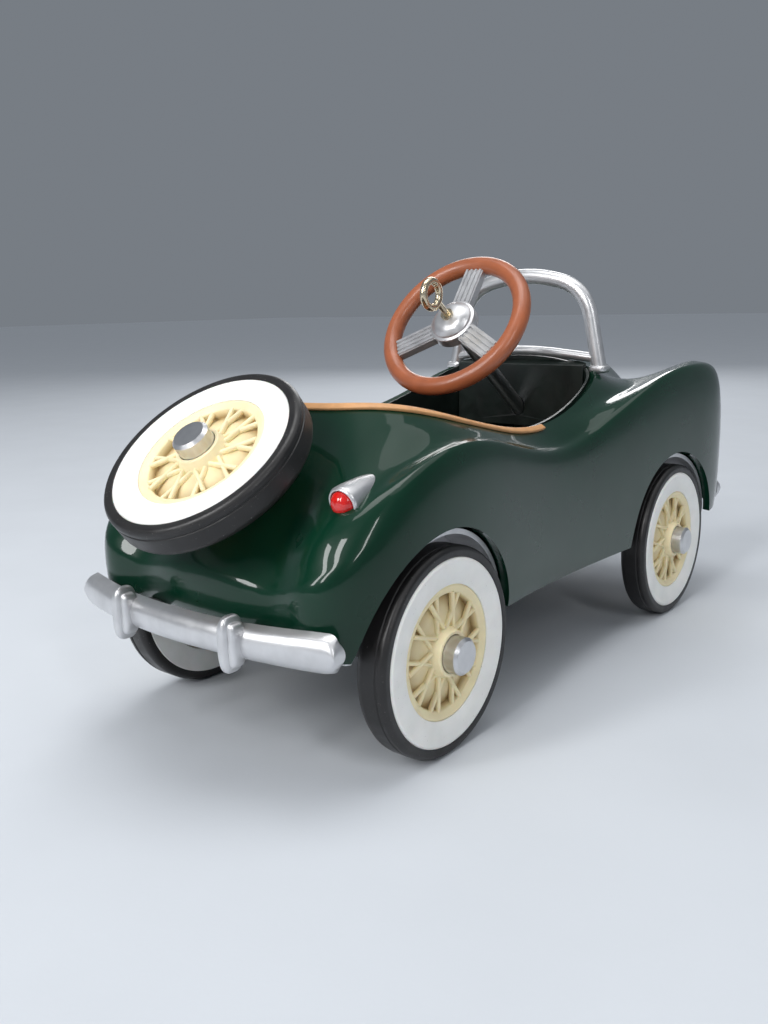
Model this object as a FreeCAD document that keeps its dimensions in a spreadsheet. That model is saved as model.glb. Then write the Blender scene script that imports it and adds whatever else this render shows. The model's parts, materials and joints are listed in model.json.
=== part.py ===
"""A hanging-ornament pedal car: die-cast open body, base casting, five wire-look wheels,
steering wheel with a hanging eye, pedals, bumpers, lamps and seat, each piece a solid of its own.

Frame: millimetres, +Z up, nose towards -Y, X across the car.  The origin is on the ground
under the middle of the overall length and width.
"""
import FreeCAD, Part
import math
import os

import Sketcher
from types import SimpleNamespace
from FreeCAD import Placement, Rotation, Vector

os.makedirs("parts", exist_ok=True)
doc = FreeCAD.newDocument("PedalCar")

# ---------------------------------------------------------------- driving dimensions

SIZES = {
    # stance
    "wheelbase": 63.3, "wheelbase_middle": 1.32, "wheel_face": 21.9,
    # wheel
    "tyre_radius": 12.15, "tyre_width": 3.8, "tyre_shoulder": 0.8, "whitewall_radius": 10.9,
    "whitewall_width": 4.0, "disc_radius": 7.8, "spoke_field_radius": 6.6, "disc_back": 3.5,
    "dish_depth": 1.5, "wheel_hub_radius": 2.6, "wheel_bore_radius": 1.06,
    "spoke_width": 0.36, "spoke_height": 0.75, "spoke_lean": 24,
    # axle and hub cap
    "axle_radius": 1.0, "hub_cap_radius": 2.15, "hub_cap_proud": 2.0, "hub_cap_bevel": 0.35,
    "hub_recess": 0.5, "hub_gap": 0.15,
    # body casting
    "skin": 1.2, "arch_radius": 14.2, "arch_depth": 12.0, "post_radius": 2.4,
    "front_post_reach": 46.5, "rear_post_reach": 38.5,
    # base casting
    "plate_bottom": 14.2, "plate_thickness": 1.6, "plate_half_width": 17.4,
    "plate_waist": 15.2, "plate_front": 48.0, "plate_rear": 43.0, "plate_waist_start": 16.6,
    "beam_half_length": 11.5, "beam_depth": 5.2, "beam_bottom": 9.9,
    "screw_radius": 0.9, "screw_head_radius": 1.9, "screw_head_height": 0.8, "screw_length": 7.0,
    # wheel wells
    "well_radius": 13.9, "well_wall": 0.6, "well_outer": 23.0,
    # cockpit
    "lining": 0.8, "trim_height": 0.45, "trim_width": 0.95,
    "seat_half_width": 11.2, "seat_front": 7.0, "seat_rear": 23.4, "seat_base_height": 3.6,
    "cushion_height": 3.4, "cushion_edge": 1.2, "squab_height": 9.5, "squab_thickness": 2.6,
    "squab_tilt": 8,
    "dash_half_width": 11.4, "dash_bottom": 33.2, "dash_top": 41.2, "dash_thickness": 0.8,
    "dash_reach": 20.0,
    # windscreen frame
    "screen_reach": 20.6, "screen_half_width": 14.3, "screen_top": 55.5, "screen_bar": 2.3,
    "screen_depth": 2.1, "screen_foot": 39.0, "screen_corner": 9.5, "screen_lean_in": 2.6,
    "screen_crown": 20.0,
    "rail_top": 44.0, "rail_drop": 1.3, "rail_height": 1.5,
    # steering
    "steer_reach": 1.0, "steer_height": 47.2, "steer_rake": 37, "rim_radius": 10.4,
    "rim_tube": 1.27, "steer_spoke_width": 3.0, "steer_spoke_thickness": 1.1,
    "steer_spoke_reach": 9.5, "steer_rib": 0.36, "steer_hub_radius": 3.5,
    "steer_hub_height": 2.3, "column_radius": 1.1, "column_length": 40.0,
    "column_gap": 0.06, "eye_height": 7.1, "eye_outer_radius": 2.35, "eye_wire": 0.53,
    # pedals
    "pedal_reach": 33.0, "pedal_pivot_height": 35.4, "pedal_rod_radius": 0.6,
    "pedal_rod_half": 9.0, "pedal_gap": 0.06, "pedal_spread": 6.5, "pedal_hub_radius": 1.2,
    "pedal_arm_length": 5.2, "pedal_pad_width": 4.6, "pedal_pad_height": 3.2,
    "pedal_pad_thickness": 1.0, "pedal_bracket_thickness": 1.0,
    # bumpers
    "bumper_half_width": 20.6, "bumper_radius": 66.0, "bumper_height": 4.1,
    "bumper_thickness": 1.7, "bumper_level": 16.7, "bumper_rear": 53.0, "bumper_front": 58.6,
    "bumper_edge": 0.8, "overrider_spread": 8.8, "overrider_height": 6.3,
    "overrider_width": 2.1, "overrider_depth": 3.0, "collar_width": 3.4, "collar_height": 5.2,
    "collar_depth": 2.2, "bracket_width": 2.4, "bracket_height": 1.3, "bracket_length": 10.6,
    # nose
    "grille_half_width": 4.6, "grille_half_height": 6.4, "grille_level": 27.5,
    "grille_face": 52.4, "grille_depth": 2.6, "grille_frame": 0.8, "grille_bar": 0.42,
    "grille_pitch": 1.12,
    "headlight_spread": 15.8, "headlight_level": 31.5, "headlight_face": 55.2,
    "headlight_radius": 3.2, "headlight_depth": 5.4, "headlight_bezel": 0.5,
    # tail lamps
    "tail_lamp_spread": 15.7, "tail_lamp_level": 30.1, "tail_lamp_face": 42.6,
    "tail_lamp_radius": 1.75, "tail_lamp_length": 6.6, "tail_lamp_tilt": 16, "tail_lens_radius": 1.25,
    # spare wheel
    "spare_reach": 47.6, "spare_level": 35.7, "spare_rake": 52, "carrier_radius": 4.2,
    "carrier_neck": 2.4, "carrier_length": 7.5,
}

sheet = doc.addObject("Spreadsheet::Sheet", "Sizes")
for row, (alias, value) in enumerate(SIZES.items(), start=1):
    sheet.set(f"A{row}", alias)
    sheet.set(f"B{row}", str(value))
    sheet.setAlias(f"B{row}", alias)
doc.recompute()


class Size:
    """A length that carries its number and the spreadsheet formula that gives it."""

    def __init__(self, number, formula):
        self.number = float(number)
        self.formula = formula

    def join(self, other, sign, number):
        return Size(number, f"({self.formula} {sign} {as_size(other).formula})")

    def __add__(self, other):
        return self.join(other, "+", self.number + as_size(other).number)

    def __sub__(self, other):
        return self.join(other, "-", self.number - as_size(other).number)

    def __mul__(self, other):
        return self.join(other, "*", self.number * as_size(other).number)

    def __truediv__(self, other):
        return self.join(other, "/", self.number / as_size(other).number)

    def __neg__(self):
        return Size(-self.number, f"(0 - {self.formula})")


def as_size(value):
    """A plain number as a Size, so that both can be mixed in a formula."""
    return value if isinstance(value, Size) else Size(value, f"{value:.6f}")


d = SimpleNamespace(**{alias: Size(sheet.get(alias), f"Sizes.{alias}") for alias in SIZES})

SIDES = {"right": -1, "left": 1}
front_axle_y = d.wheelbase_middle - d.wheelbase / 2
rear_axle_y = d.wheelbase_middle + d.wheelbase / 2
axle_z = d.tyre_radius
plate_top = d.plate_bottom + d.plate_thickness

nodes = []


def node(obj, label):
    """Name an object as a finished sub-part."""
    obj.Label = label
    nodes.append(obj)
    return obj


# ---------------------------------------------------------------- building helpers

def bind(obj, prop, size):
    """Drive one property from the sheet."""
    obj.setExpression(prop, as_size(size).formula)


def place(obj, x=0, y=0, z=0, rotation=None):
    """Put an object at a point whose coordinates come from the sheet."""
    spot = [as_size(value) for value in (x, y, z)]
    base = Vector(*[value.number for value in spot])
    obj.Placement = Placement(base, rotation or Rotation())
    for name, value in zip("xyz", spot):
        bind(obj, f"Placement.Base.{name}", value)
    return obj


def pointing(direction):
    """The rotation that carries local +Z onto a direction."""
    return Rotation(Vector(0, 0, 1), Vector(*direction))


def cylinder(name, radius, height, x=0, y=0, z=0, axis=(0, 0, 1)):
    obj = doc.addObject("Part::Cylinder", name)
    bind(obj, "Radius", radius)
    bind(obj, "Height", height)
    return place(obj, x, y, z, pointing(axis))


def cone(name, radius_1, radius_2, height, x=0, y=0, z=0, axis=(0, 0, 1)):
    obj = doc.addObject("Part::Cone", name)
    bind(obj, "Radius1", radius_1)
    bind(obj, "Radius2", radius_2)
    bind(obj, "Height", height)
    return place(obj, x, y, z, pointing(axis))


def sphere(name, radius, x=0, y=0, z=0):
    obj = doc.addObject("Part::Sphere", name)
    bind(obj, "Radius", radius)
    return place(obj, x, y, z)


def torus(name, ring_radius, tube_radius, x=0, y=0, z=0, axis=(0, 0, 1)):
    obj = doc.addObject("Part::Torus", name)
    bind(obj, "Radius1", ring_radius)
    bind(obj, "Radius2", tube_radius)
    return place(obj, x, y, z, pointing(axis))


def box(name, low, high):
    """A box between two corners."""
    obj = doc.addObject("Part::Box", name)
    for prop, start, end in zip(("Length", "Width", "Height"), low, high):
        bind(obj, prop, as_size(end) - start)
    return place(obj, *low)


def cut(name, base, *tools):
    """The base with every tool taken away."""
    for count, tool in enumerate(tools):
        result = doc.addObject("Part::Cut", name if count == 0 else f"{name}_{count}")
        result.Base = base
        result.Tool = tool
        base = result
    return base


def fuse(name, *shapes):
    result = doc.addObject("Part::MultiFuse", name)
    result.Shapes = list(shapes)
    return result


def common(name, first, second):
    result = doc.addObject("Part::Common", name)
    result.Base = first
    result.Tool = second
    return result


def group(name, *shapes):
    """Separate solids kept together in one node."""
    result = doc.addObject("Part::Compound", name)
    result.Links = list(shapes)
    return result


def fixed_shape(name, shape):
    """A free-form solid, made from the sheet's sizes by the surface functions below."""
    obj = doc.addObject("Part::Feature", name)
    obj.Shape = shape
    return obj


def new_body(name):
    return doc.addObject("PartDesign::Body", name)


def new_sketch(body, plane, name):
    """A sketch on one of the body's own origin planes."""
    sketch = body.newObject("Sketcher::SketchObject", name)
    support = [item for item in body.Origin.OriginFeatures if item.Role == plane][0]
    sketch.AttachmentSupport = [(support, "")]
    sketch.MapMode = "FlatFace"
    return sketch


def pin_point(sketch, geometry, end, u, v):
    """Hold one end of a piece of sketch geometry at (u, v) from the origin."""
    for kind, value in (("DistanceX", as_size(u)), ("DistanceY", as_size(v))):
        index = sketch.addConstraint(Sketcher.Constraint(kind, -1, 1, geometry, end, value.number))
        sketch.setExpression(f"Constraints[{index}]", value.formula)


def polygon(sketch, points):
    """A closed outline of straight sides, every corner driven by the sheet."""
    points = [(as_size(u), as_size(v)) for u, v in points]
    first = sketch.GeometryCount
    for start, end in zip(points, points[1:] + points[:1]):
        sketch.addGeometry(Part.LineSegment(Vector(start[0].number, start[1].number, 0),
                                            Vector(end[0].number, end[1].number, 0)))
    for count, (u, v) in enumerate(points):
        here = first + count
        before = first + (count - 1) % len(points)
        sketch.addConstraint(Sketcher.Constraint("Coincident", before, 2, here, 1))
        pin_point(sketch, here, 1, u, v)


def circle(sketch, radius, u=0, v=0):
    """A circle driven by the sheet."""
    radius = as_size(radius)
    index = sketch.addGeometry(Part.Circle(Vector(as_size(u).number, as_size(v).number, 0),
                                           Vector(0, 0, 1), radius.number))
    pin_point(sketch, index, 3, u, v)
    held = sketch.addConstraint(Sketcher.Constraint("Radius", index, radius.number))
    sketch.setExpression(f"Constraints[{held}]", radius.formula)


def pad(body, sketch, name, length, midplane=False, reverse=False):
    feature = body.newObject("PartDesign::Pad", name)
    feature.Profile = sketch
    feature.Midplane = midplane
    feature.Reversed = reverse
    bind(feature, "Length", length)
    doc.recompute()
    return feature


def pocket(body, sketch, name, depth, midplane=False, reverse=False):
    """A pocket that must take something away."""
    before = body.Shape.Volume
    feature = body.newObject("PartDesign::Pocket", name)
    feature.Profile = sketch
    feature.Midplane = midplane
    feature.Reversed = reverse
    bind(feature, "Length", depth)
    doc.recompute()
    if feature.Shape.Volume >= before - 1e-6:
        raise ValueError(f"{body.Name}: {name} cuts nothing")
    return feature


def revolve(body, sketch, name):
    """A full turn about the sketch's own vertical axis."""
    feature = body.newObject("PartDesign::Revolution", name)
    feature.Profile = sketch
    feature.ReferenceAxis = (sketch, ["V_Axis"])
    feature.Angle = 360
    doc.recompute()
    return feature


def repeat_round(body, feature, name, count):
    """The feature copied round the body's Z axis."""
    pattern = body.newObject("PartDesign::PolarPattern", name)
    pattern.Originals = [feature]
    axis = [item for item in body.Origin.OriginFeatures if item.Role == "Z_Axis"][0]
    pattern.Axis = (axis, [""])
    pattern.Angle = 360
    pattern.Occurrences = count
    body.Tip = pattern
    doc.recompute()
    return pattern


def fillet(body, name, radius, wanted):
    """Round the edges of the body's tip that the test picks out."""
    base = body.Tip
    edges = [f"Edge{count}" for count, edge in enumerate(base.Shape.Edges, start=1) if wanted(edge)]
    feature = body.newObject("PartDesign::Fillet", name)
    feature.Base = (base, edges)
    feature.Radius = as_size(radius).number
    bind(feature, "Radius", radius)
    doc.recompute()
    return feature


# ---------------------------------------------------------------- free-form skins

def station(outline, rim, crown, valley, shoulder, foot, roll):
    """One half-section of the body, from its foot up the side and in to the cockpit rim.

    outline is the side's place in plan, rim the cockpit edge.  crown, valley and shoulder are
    (share of the way from the side to the rim, height).  roll is how far the section has
    dropped where it turns over into the side.
    """
    side = Vector(*outline, 0)
    way_in = Vector(rim[0], rim[1], 0) - side
    unit = Vector(way_in).normalize()
    height = crown[1] - foot

    def point(share, level, inset=0.0):
        spot = side + way_in * share + unit * inset
        return Vector(spot.x, spot.y, level)

    return [
        point(0, foot, 0.9),
        point(0, foot + 0.10 * height, 0.2),
        point(0, foot + 0.42 * height, -0.1),
        point(0, foot + (0.74 - 0.02 * roll) * height, 0.1),
        point(crown[0] / 3, crown[1] - roll),
        point(crown[0], crown[1]),
        point((crown[0] + valley[0]) / 2, (crown[1] + valley[1]) / 2),
        point(valley[0], valley[1]),
        point(shoulder[0], shoulder[1]),
        point((1 + shoulder[0]) / 2, (shoulder[1] + rim[2]) / 2),
        point(1, rim[2]),
    ]


# From the middle of the nose round the left side to the middle of the tail.
HALF_BODY = [
    station((0.0, -52.2), (0.0, -21.8, 42.0), (.10, 36.5), (.28, 41.0), (.62, 42.6), 17.6, 2.2),
    station((5.0, -51.9), (4.0, -21.8, 41.8), (.10, 34.5), (.28, 39.6), (.62, 42.1), 17.6, 2.2),
    station((9.8, -50.8), (7.6, -21.6, 41.3), (.10, 29.5), (.28, 32.6), (.62, 38.0), 17.2, 2.2),
    station((13.6, -54.2), (10.6, -20.8, 40.6), (.11, 37.0), (.29, 38.0), (.68, 37.2), 15.0, 2.2),
    station((19.6, -54.4), (12.9, -19.4, 39.9), (.12, 39.2), (.30, 40.6), (.72, 36.2), 15.0, 2.2),
    station((22.9, -49.5), (14.3, -17.0, 39.0), (.14, 39.9), (.36, 40.4), (.75, 35.8), 14.6, 1.4),
    station((22.1, -38.0), (15.1, -13.6, 37.7), (.18, 40.3), (.40, 38.8), (.78, 35.6), 13.8, 1.0),
    station((21.4, -25.0), (15.7, -9.0, 36.2), (.20, 37.2), (.45, 36.2), (.78, 35.2), 13.6, 0.9),
    station((20.7, -12.0), (16.1, -3.5, 34.8), (.20, 33.2), (.45, 33.2), (.78, 34.0), 13.6, 0.9),
    station((20.4, 0.0), (16.3, 3.0, 33.9), (.20, 30.4), (.45, 31.0), (.78, 33.0), 13.6, 0.9),
    station((20.7, 11.5), (16.3, 9.5, 34.1), (.20, 32.0), (.45, 32.2), (.78, 33.4), 13.6, 0.9),
    station((21.5, 22.0), (15.8, 16.0, 35.4), (.20, 35.2), (.45, 34.4), (.78, 35.2), 13.6, 1.0),
    station((22.1, 32.0), (14.8, 21.6, 37.0), (.18, 35.8), (.45, 34.6), (.78, 36.4), 13.6, 1.2),
    station((21.9, 41.0), (13.4, 25.6, 38.2), (.16, 33.2), (.45, 33.2), (.76, 36.8), 14.4, 2.4),
    station((19.6, 47.6), (11.2, 28.6, 38.9), (.15, 28.6), (.40, 32.4), (.74, 36.0), 14.6, 3.4),
    station((15.6, 49.4), (8.2, 30.4, 39.0), (.13, 27.2), (.36, 30.0), (.72, 35.4), 15.6, 3.6),
    station((10.9, 47.6), (5.4, 31.0, 38.9), (.10, 22.8), (.34, 28.2), (.70, 34.2), 16.8, 1.6),
    station((5.8, 49.0), (2.8, 31.2, 38.8), (.10, 24.6), (.34, 29.0), (.70, 34.0), 16.6, 1.6),
    station((0.0, 49.2), (0.0, 31.3, 38.7), (.10, 24.8), (.34, 29.0), (.70, 34.0), 16.6, 1.6),
]


def all_round(half):
    """The half body's stations, shifted to the part's origin, and their mirror images."""
    shift = Vector(0, d.wheelbase_middle.number, 0)
    half = [[spot + shift for spot in section] for section in half]
    mirrored = [[Vector(-spot.x, spot.y, spot.z) for spot in section] for section in half[-2:0:-1]]
    return half + mirrored


def skin_surface(sections):
    """A smooth surface, closed round the car, whose control points are the sections."""
    rows = len(sections[0])
    degree = min(3, rows - 1)
    ends = rows - degree + 1
    surface = Part.BSplineSurface()
    surface.buildFromPolesMultsKnots(
        sections,
        [1] * (len(sections) + 1), [degree + 1] + [1] * (ends - 2) + [degree + 1],
        list(range(len(sections) + 1)), list(range(ends)),
        True, False, 3, degree)
    return surface


def moved_in(sections, surface, distance):
    """The sections moved inwards, square to the surface."""
    u_first, _, v_first, v_last = surface.bounds()
    degree = surface.VDegree
    knots = surface.VKnotSequence
    moved = []
    for count, section in enumerate(sections):
        u = u_first + (count - 1) % len(sections)
        row = []
        for index, spot in enumerate(section):
            v = sum(knots[index + 1:index + 1 + degree]) / degree
            v = min(max(v, v_first), v_last)
            normal = surface.normal(u, v)
            row.append(spot - normal * distance)
        moved.append(row)
    return moved


def ring_edge(sections, index):
    """The closed curve that a skin's first or last row of control points makes."""
    curve = Part.BSplineCurve()
    poles = [section[index] for section in sections]
    curve.buildFromPolesMultsKnots(poles, [1] * (len(poles) + 1), list(range(len(poles) + 1)),
                                   True, 3)
    return curve.toShape()


def solid_from(faces):
    """One solid closed by the given faces."""
    shell = Part.Shell(faces)
    shell.sewShape()
    solid = Part.Solid(shell)
    if solid.Volume < 0:
        solid.reverse()
    return solid


def band_between(outer, inner):
    """The wall between two skins, open inside, closed along both edges."""
    faces = [skin_surface(outer).toShape(), skin_surface(inner).toShape()]
    for index in (0, -1):
        faces.append(Part.makeRuledSurface(ring_edge(outer, index), ring_edge(inner, index)))
    return solid_from(faces)


def at_level(section, index, level):
    """A section's control point carried straight up or down to a level."""
    return Vector(section[index].x, section[index].y, level)


def block_inside(sections):
    """Everything inside a skin, carried straight down from its foot and up from its rim."""
    faces = [skin_surface(sections).toShape()]
    for index, level in ((0, BLOCK_FLOOR), (-1, BLOCK_TOP)):
        flat = [[at_level(section, index, level)] for section in sections]
        flat_ring = ring_edge(flat, 0)
        faces.append(Part.makeRuledSurface(ring_edge(sections, index), flat_ring))
        faces.append(Part.Face(Part.Wire(flat_ring)))
    return solid_from(faces)


BLOCK_FLOOR = 5.0
BLOCK_TOP = 60.0
outer_sections = all_round(HALF_BODY)
outer_surface = skin_surface(outer_sections)
inner_sections = moved_in(outer_sections, outer_surface, d.skin.number)
middle_sections = moved_in(outer_sections, outer_surface, d.skin.number / 2)
outer_block = fixed_shape("OuterBlock", block_inside(outer_sections))
middle_block = fixed_shape("MiddleBlock", block_inside(middle_sections))
inner_block = fixed_shape("InnerBlock", block_inside(inner_sections))


# ---------------------------------------------------------------- body casting

def stadium(name, half_width, half_height, y_start, depth, level):
    """A prism along -Y, straight at the sides and round at the top and bottom."""
    straight = half_height - half_width
    parts = [box(f"{name}Flat", (-half_width, y_start - depth, level - straight),
                 (half_width, y_start, level + straight))]
    for label, end in (("Low", level - straight), ("High", level + straight)):
        parts.append(cylinder(f"{name}{label}", half_width, depth, 0, y_start, end, (0, -1, 0)))
    return fuse(name, *parts)


grille_back = d.wheelbase_middle - d.grille_face + d.grille_depth
headlight_back = d.wheelbase_middle - d.headlight_face + d.headlight_depth
post_spots = (d.wheelbase_middle - d.front_post_reach, d.wheelbase_middle + d.rear_post_reach)


def body_shell():
    band = fixed_shape("BodyBand", band_between(outer_sections, inner_sections))
    tools = []
    for side in SIDES.values():
        for count, y in enumerate((front_axle_y, rear_axle_y)):
            tools.append(cylinder(f"Arch{count}", d.arch_radius, 20, side * d.arch_depth.number,
                                  y, axle_z, (side, 0, 0)))
        tools.append(cylinder("LampHole", d.headlight_radius, d.headlight_depth,
                              d.headlight_spread * side, headlight_back, d.headlight_level,
                              (0, -1, 0)))
    tools.append(stadium("GrilleHole", d.grille_half_width, d.grille_half_height,
                         grille_back, d.grille_depth + 2, d.grille_level))
    opened = cut("OpenedBand", band, *tools)
    posts = []
    for count, y in enumerate(post_spots):
        rough = cylinder(f"RoughPost{count}", d.post_radius, 40, 0, y, plate_top)
        solid = common(f"PostCore{count}", rough, middle_block)
        pilot = cylinder(f"Pilot{count}", d.screw_radius, d.screw_length, 0, y, plate_top - 1)
        posts.append(cut(f"Post{count}", solid, pilot))
    return node(fuse("BodyShell", opened, *posts), "body_shell")


# ---------------------------------------------------------------- base casting

def base_plate():
    """The floor casting with a beam across it for each axle."""
    body = new_body("BasePlate")
    sketch = new_sketch(body, "XY_Plane", "PlateOutline")
    bind(sketch, "AttachmentOffset.Base.z", d.plate_bottom)
    front = d.wheelbase_middle - d.plate_front
    rear = d.wheelbase_middle + d.plate_rear
    waist = (d.wheelbase_middle - d.plate_waist_start, d.wheelbase_middle + d.plate_waist_start)
    left = [(d.plate_waist, front), (d.plate_waist, waist[0]), (d.plate_half_width, waist[0]),
            (d.plate_half_width, waist[1]), (d.plate_waist, waist[1]), (d.plate_waist, rear)]
    polygon(sketch, left + [(-x, y) for x, y in reversed(left)])
    pad(body, sketch, "Plate", d.plate_thickness)

    sketch = new_sketch(body, "XY_Plane", "BeamOutlines")
    bind(sketch, "AttachmentOffset.Base.z", d.beam_bottom)
    half = d.beam_depth / 2
    for y in (front_axle_y, rear_axle_y):
        polygon(sketch, [(-d.beam_half_length, y - half), (d.beam_half_length, y - half),
                         (d.beam_half_length, y + half), (-d.beam_half_length, y + half)])
    pad(body, sketch, "Beams", d.plate_bottom - d.beam_bottom)

    sketch = new_sketch(body, "YZ_Plane", "AxleBores")
    for y in (front_axle_y, rear_axle_y):
        circle(sketch, d.axle_radius, y, axle_z)
    pocket(body, sketch, "Bores", d.beam_half_length * 2 + 2, midplane=True)

    sketch = new_sketch(body, "XY_Plane", "ScrewHoles")
    bind(sketch, "AttachmentOffset.Base.z", d.plate_bottom)
    for y in post_spots:
        circle(sketch, d.screw_radius, 0, y)
    pocket(body, sketch, "Holes", d.plate_thickness, reverse=True)

    sketch = new_sketch(body, "XY_Plane", "ScrewSeats")
    bind(sketch, "AttachmentOffset.Base.z", d.plate_bottom)
    for y in post_spots:
        circle(sketch, d.screw_head_radius + 0.1, 0, y)
    pocket(body, sketch, "Seats", d.screw_head_height + 0.1, reverse=True)
    return node(body, "base_plate")


def base_screws():
    screws = []
    for count, y in enumerate(post_spots):
        head = cylinder(f"ScrewHead{count}", d.screw_head_radius, d.screw_head_height, 0, y,
                        d.plate_bottom + 0.1)
        shank = cylinder(f"ScrewShank{count}", d.screw_radius, d.screw_length, 0, y,
                         d.plate_bottom + 0.1)
        slot = box(f"ScrewSlot{count}", (-2.5, y - 0.25, d.plate_bottom),
                   (2.5, y + 0.25, d.plate_bottom + 0.45))
        screws.append(cut(f"Screw{count}", fuse(f"ScrewBlank{count}", head, shank), slot))
    return node(group("BaseScrews", *screws), "base_screws")


def wheel_wells():
    """Four half drums with a closed inner end, one over each wheel."""
    wells = []
    for side_name, side in SIDES.items():
        for end, y in (("Front", front_axle_y), ("Rear", rear_axle_y)):
            name = f"Well{end}{side_name.title()}"
            start = side * d.plate_waist.number
            drum = cylinder(f"{name}Drum", d.well_radius, d.well_outer - d.plate_waist,
                            start, y, axle_z, (side, 0, 0))
            hollow = cylinder(f"{name}Hollow", d.well_radius - d.well_wall, 20,
                              start + side * d.well_wall.number, y, axle_z, (side, 0, 0))
            below = box(f"{name}Below", (-30, y - 20, -5), (30, y + 20, d.plate_bottom))
            wells.append(common(name, cut(f"{name}Arch", drum, hollow, below), inner_block))
    return node(group("WheelWells", *wells), "wheel_wells")


# ---------------------------------------------------------------- wheels and axles

def tyre(name):
    """Local +Z points out of the wheel's face, which lies at z = 0."""
    body = new_body(f"{name}Tyre")
    sketch = new_sketch(body, "XZ_Plane", "Section")
    top = as_size(-0.15)
    polygon(sketch, [(d.whitewall_radius, top), (d.tyre_radius, top),
                     (d.tyre_radius, top - d.tyre_width), (d.whitewall_radius, top - d.tyre_width)])
    revolve(body, sketch, "Ring")
    reach = d.tyre_radius.number - 0.01
    fillet(body, "Shoulders", d.tyre_shoulder,
           lambda edge: edge.BoundBox.XLength > 2 * reach and edge.BoundBox.ZLength < 0.01)
    return body


def whitewall(name):
    body = new_body(f"{name}Whitewall")
    sketch = new_sketch(body, "XZ_Plane", "Section")
    polygon(sketch, [(d.disc_radius, 0), (d.whitewall_radius, 0),
                     (d.whitewall_radius, -d.whitewall_width),
                     (d.disc_radius, -d.whitewall_width)])
    revolve(body, sketch, "Ring")
    return body


def spoke_disc(name):
    """A dished disc with crossed wire spokes standing on it."""
    body = new_body(f"{name}Disc")
    sketch = new_sketch(body, "XZ_Plane", "Section")
    edge = as_size(-0.3)
    polygon(sketch, [(d.wheel_bore_radius, -d.hub_recess), (d.wheel_hub_radius, -d.hub_recess),
                     (d.wheel_hub_radius, -d.dish_depth), (d.spoke_field_radius, -d.dish_depth),
                     (d.spoke_field_radius, edge), (d.disc_radius, edge),
                     (d.disc_radius, -d.disc_back), (d.wheel_bore_radius, -d.disc_back)])
    revolve(body, sketch, "Dish")
    inner, outer = d.wheel_hub_radius - 0.2, d.spoke_field_radius + 0.2
    half = d.spoke_width / 2
    for label, way in (("Left", 1), ("Right", -1)):
        lean = math.radians(d.spoke_lean.number) * way
        sketch = new_sketch(body, "XY_Plane", f"Spoke{label}")
        bind(sketch, "AttachmentOffset.Base.z", -d.dish_depth)
        far_x, far_y = outer * math.cos(lean), outer * math.sin(lean)
        polygon(sketch, [(inner, -half), (far_x, far_y - half), (far_x, far_y + half),
                         (inner, half)])
        feature = pad(body, sketch, f"Wire{label}", d.spoke_height)
        repeat_round(body, feature, f"Wires{label}", WIRES)
    return body


WIRES = 10
WHEELS = {
    "front_right": (-1, front_axle_y), "front_left": (1, front_axle_y),
    "rear_right": (-1, rear_axle_y), "rear_left": (1, rear_axle_y),
}
PIECES = {"tyre": tyre, "whitewall": whitewall, "spoke_disc": spoke_disc}


def road_wheels():
    for wheel, (side, y) in WHEELS.items():
        name = wheel.title().replace("_", "")
        for piece, make in PIECES.items():
            body = place(make(name), d.wheel_face * side, y, axle_z, pointing((side, 0, 0)))
            node(body, f"{piece}_{wheel}")


def hub_cap(name, x, y, z, axis):
    """A flat cap with a bevelled edge, centred where the wheel's hub ends."""
    straight = d.hub_cap_proud + d.hub_recess - d.hub_gap - d.hub_cap_bevel
    turn = pointing(axis)
    drum = cylinder(f"{name}Drum", d.hub_cap_radius, straight)
    bevel = cone(f"{name}Bevel", d.hub_cap_radius, d.hub_cap_radius - d.hub_cap_bevel,
                 d.hub_cap_bevel, 0, 0, straight)
    return place(fuse(name, drum, bevel), x, y, z, turn)


def axles():
    end = d.wheel_face - d.hub_recess + d.hub_gap
    caps = []
    spacers = []
    for label, y in (("front", front_axle_y), ("rear", rear_axle_y)):
        node(cylinder(f"{label}Axle", d.axle_radius, end * 2, -end, y, axle_z, (1, 0, 0)),
             f"{label}_axle")
        for side_name, side in SIDES.items():
            tag = f"{label.title()}{side_name.title()}"
            caps.append(hub_cap(f"HubCap{tag}", end * side, y, axle_z, (side, 0, 0)))
            length = d.wheel_face - d.disc_back - d.hub_gap - d.beam_half_length
            tube = cylinder(f"SpacerTube{tag}", d.axle_radius + 0.6, length,
                            d.beam_half_length * side, y, axle_z, (side, 0, 0))
            hole = cylinder(f"SpacerHole{tag}", d.axle_radius, length,
                            d.beam_half_length * side, y, axle_z, (side, 0, 0))
            spacers.append(cut(f"Spacer{tag}", tube, hole))
    node(group("HubCaps", *caps), "hub_caps")
    node(group("AxleSpacers", *spacers), "axle_spacers")


# ---------------------------------------------------------------- spare wheel on the tail

def spare_wheel():
    rake = math.radians(d.spare_rake.number)
    axis = (0, math.cos(rake), math.sin(rake))
    turn = pointing(axis)
    y, z = d.wheelbase_middle + d.spare_reach, d.spare_level

    def along(distance):
        """The point on the stud's axis at a distance out from the wheel's face."""
        return 0, y + as_size(distance) * axis[1], z + as_size(distance) * axis[2]

    for piece, make in PIECES.items():
        node(place(make("Spare"), 0, y, z, turn), f"{piece}_spare")
    cap_start = d.hub_gap - d.hub_recess
    node(hub_cap("SpareCap", *along(cap_start), axis), "spare_hub_cap")
    back = -d.disc_back - d.hub_gap
    foot = back - d.carrier_length
    rough = cone("CarrierCone", d.carrier_radius, d.carrier_neck, d.carrier_length,
                 *along(foot), axis)
    stud = cylinder("CarrierStud", d.axle_radius, cap_start - back + 1, *along(back - 1), axis)
    whole = fuse("CarrierBlank", rough, stud)
    node(cut("SpareCarrier", whole, outer_block), "spare_carrier")


# ---------------------------------------------------------------- cockpit

LINING_GAP = 0.45
SEAT_GAP = 0.3
FLOOR_NARROWING = 0.87
FLOOR_SHIFT = -4.0


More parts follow.
